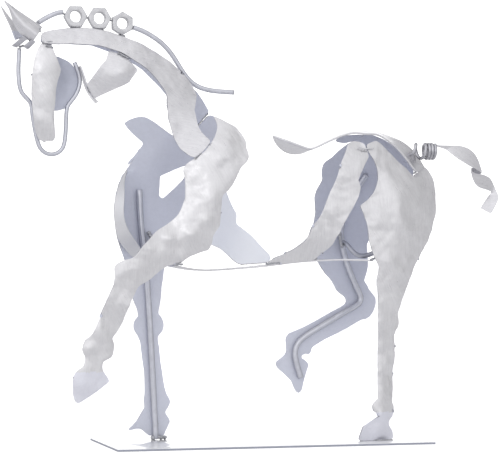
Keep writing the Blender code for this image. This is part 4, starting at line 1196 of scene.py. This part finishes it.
@dataclass
class Studio:
    """Pale floor, soft lights and the camera at the photograph's viewpoint."""

    camera_at: Place = (-0.49934, -1.78805, 0.16026)
    pitch_degrees: float = 90.963
    yaw_degrees: float = -15.3
    lens_mm: float = 150.0

    def build(self) -> None:
        """Set up the studio."""
        self.floor()
        self.world()
        self.area("key_left", (-1.4, -1.5, 1.2), (0, 0, 0.22), 0.5, 1.0)
        self.area("top", (0.1, 0.0, 1.8), (0, 0, 0.2), 1.4, 1.2)
        self.area("soft_box_behind", (0.45, 2.4, 0.9), (0, 0, 0.1), 2.0, 12.0)
        self.camera()
        bpy.context.scene.view_settings.view_transform = "Standard"

    def floor(self) -> None:
        """A pale floor that the camera sees as white."""
        leave_edit_mode()
        bpy.ops.mesh.primitive_plane_add(size=14.0, location=(0, 3.0, -0.0002))
        floor = bpy.context.active_object
        floor.name = "studio_floor"
        bpy.ops.object.transform_apply()
        made = bpy.data.materials.new("pale_floor")
        made.use_nodes = True
        wiring = Wiring(made.node_tree)
        seen = wiring.node("ShaderNodeLightPath").outputs["Is Camera Ray"]
        wiring.fill(made.node_tree.nodes["Principled BSDF"], Roughness=0.8,
                    Base_Color=(0.85, 0.85, 0.86, 1.0), Emission_Color=(1.0, 1.0, 1.0, 1.0),
                    Emission_Strength=wiring.math("MULTIPLY", seen, 0.62))
        floor.data.materials.append(made)

    def world(self) -> None:
        """A bright even surround for the camera, with a soft gradient for the metal."""
        world = bpy.data.worlds.new("studio_surround")
        bpy.context.scene.world = world
        world.use_nodes = True
        wiring = Wiring(world.node_tree)
        world.node_tree.nodes.clear()
        coord = wiring.node("ShaderNodeTexCoord").outputs["Generated"]
        toward = wiring.node("ShaderNodeVectorMath", {"operation": "DOT_PRODUCT"}, in0=coord,
                             in1=(-0.42, -0.84, 0.34))
        strength = wiring.node("ShaderNodeMapRange", Value=toward.outputs["Value"], From_Min=0.0,
                               From_Max=0.95, To_Min=0.60, To_Max=1.1).outputs["Result"]
        lit = wiring.node("ShaderNodeBackground", Color=(0.98, 0.98, 1.0, 1.0), Strength=strength)
        seen = wiring.node("ShaderNodeBackground", Color=(1.0, 1.0, 1.0, 1.0), Strength=1.6)
        path = wiring.node("ShaderNodeLightPath")
        mixed = wiring.node("ShaderNodeMixShader", in0=path.outputs["Is Camera Ray"],
                            in1=lit.outputs[0], in2=seen.outputs[0])
        wiring.node("ShaderNodeOutputWorld", Surface=mixed.outputs[0])

    def area(self, name: str, place: Place, target: Place, size: float, watts: float) -> None:
        """Hang a square soft light that looks at a point.

        Args:
            name: name of the light.
            place: where it hangs, in metres.
            target: the point that it looks at.
            size: its width in metres.
            watts: its power.
        """
        data = bpy.data.lights.new(name, "AREA")
        data.size = size
        data.energy = watts
        lamp = bpy.data.objects.new(name, data)
        bpy.context.scene.collection.objects.link(lamp)
        lamp.location = place
        lamp.rotation_euler = (Vector(target) - Vector(place)).to_track_quat("-Z", "Y").to_euler()

    def camera(self) -> None:
        """The photograph's viewpoint: low, from the left, with a long lens."""
        data = bpy.data.cameras.new("photo_camera")
        data.lens = self.lens_mm
        data.sensor_width = 36.0
        data.clip_end = 50.0
        camera = bpy.data.objects.new("photo_camera", data)
        bpy.context.scene.collection.objects.link(camera)
        camera.location = self.camera_at
        camera.rotation_euler = (math.radians(self.pitch_degrees), 0.0,
                                 math.radians(self.yaw_degrees))
        bpy.context.scene.camera = camera


def main() -> None:
    """Dress the horse from the plate up and set up the studio."""
    logging.basicConfig(level=logging.INFO, format="%(message)s")
    paints = Paints(SurfaceGroups())
    BasePlate(paints.plate, paints.plate_edge).build()
    Body(paints).build()
    Fittings(paints).build()
    Welds(paints).build()
    Studio().build()


if __name__ == "__main__":
    main()
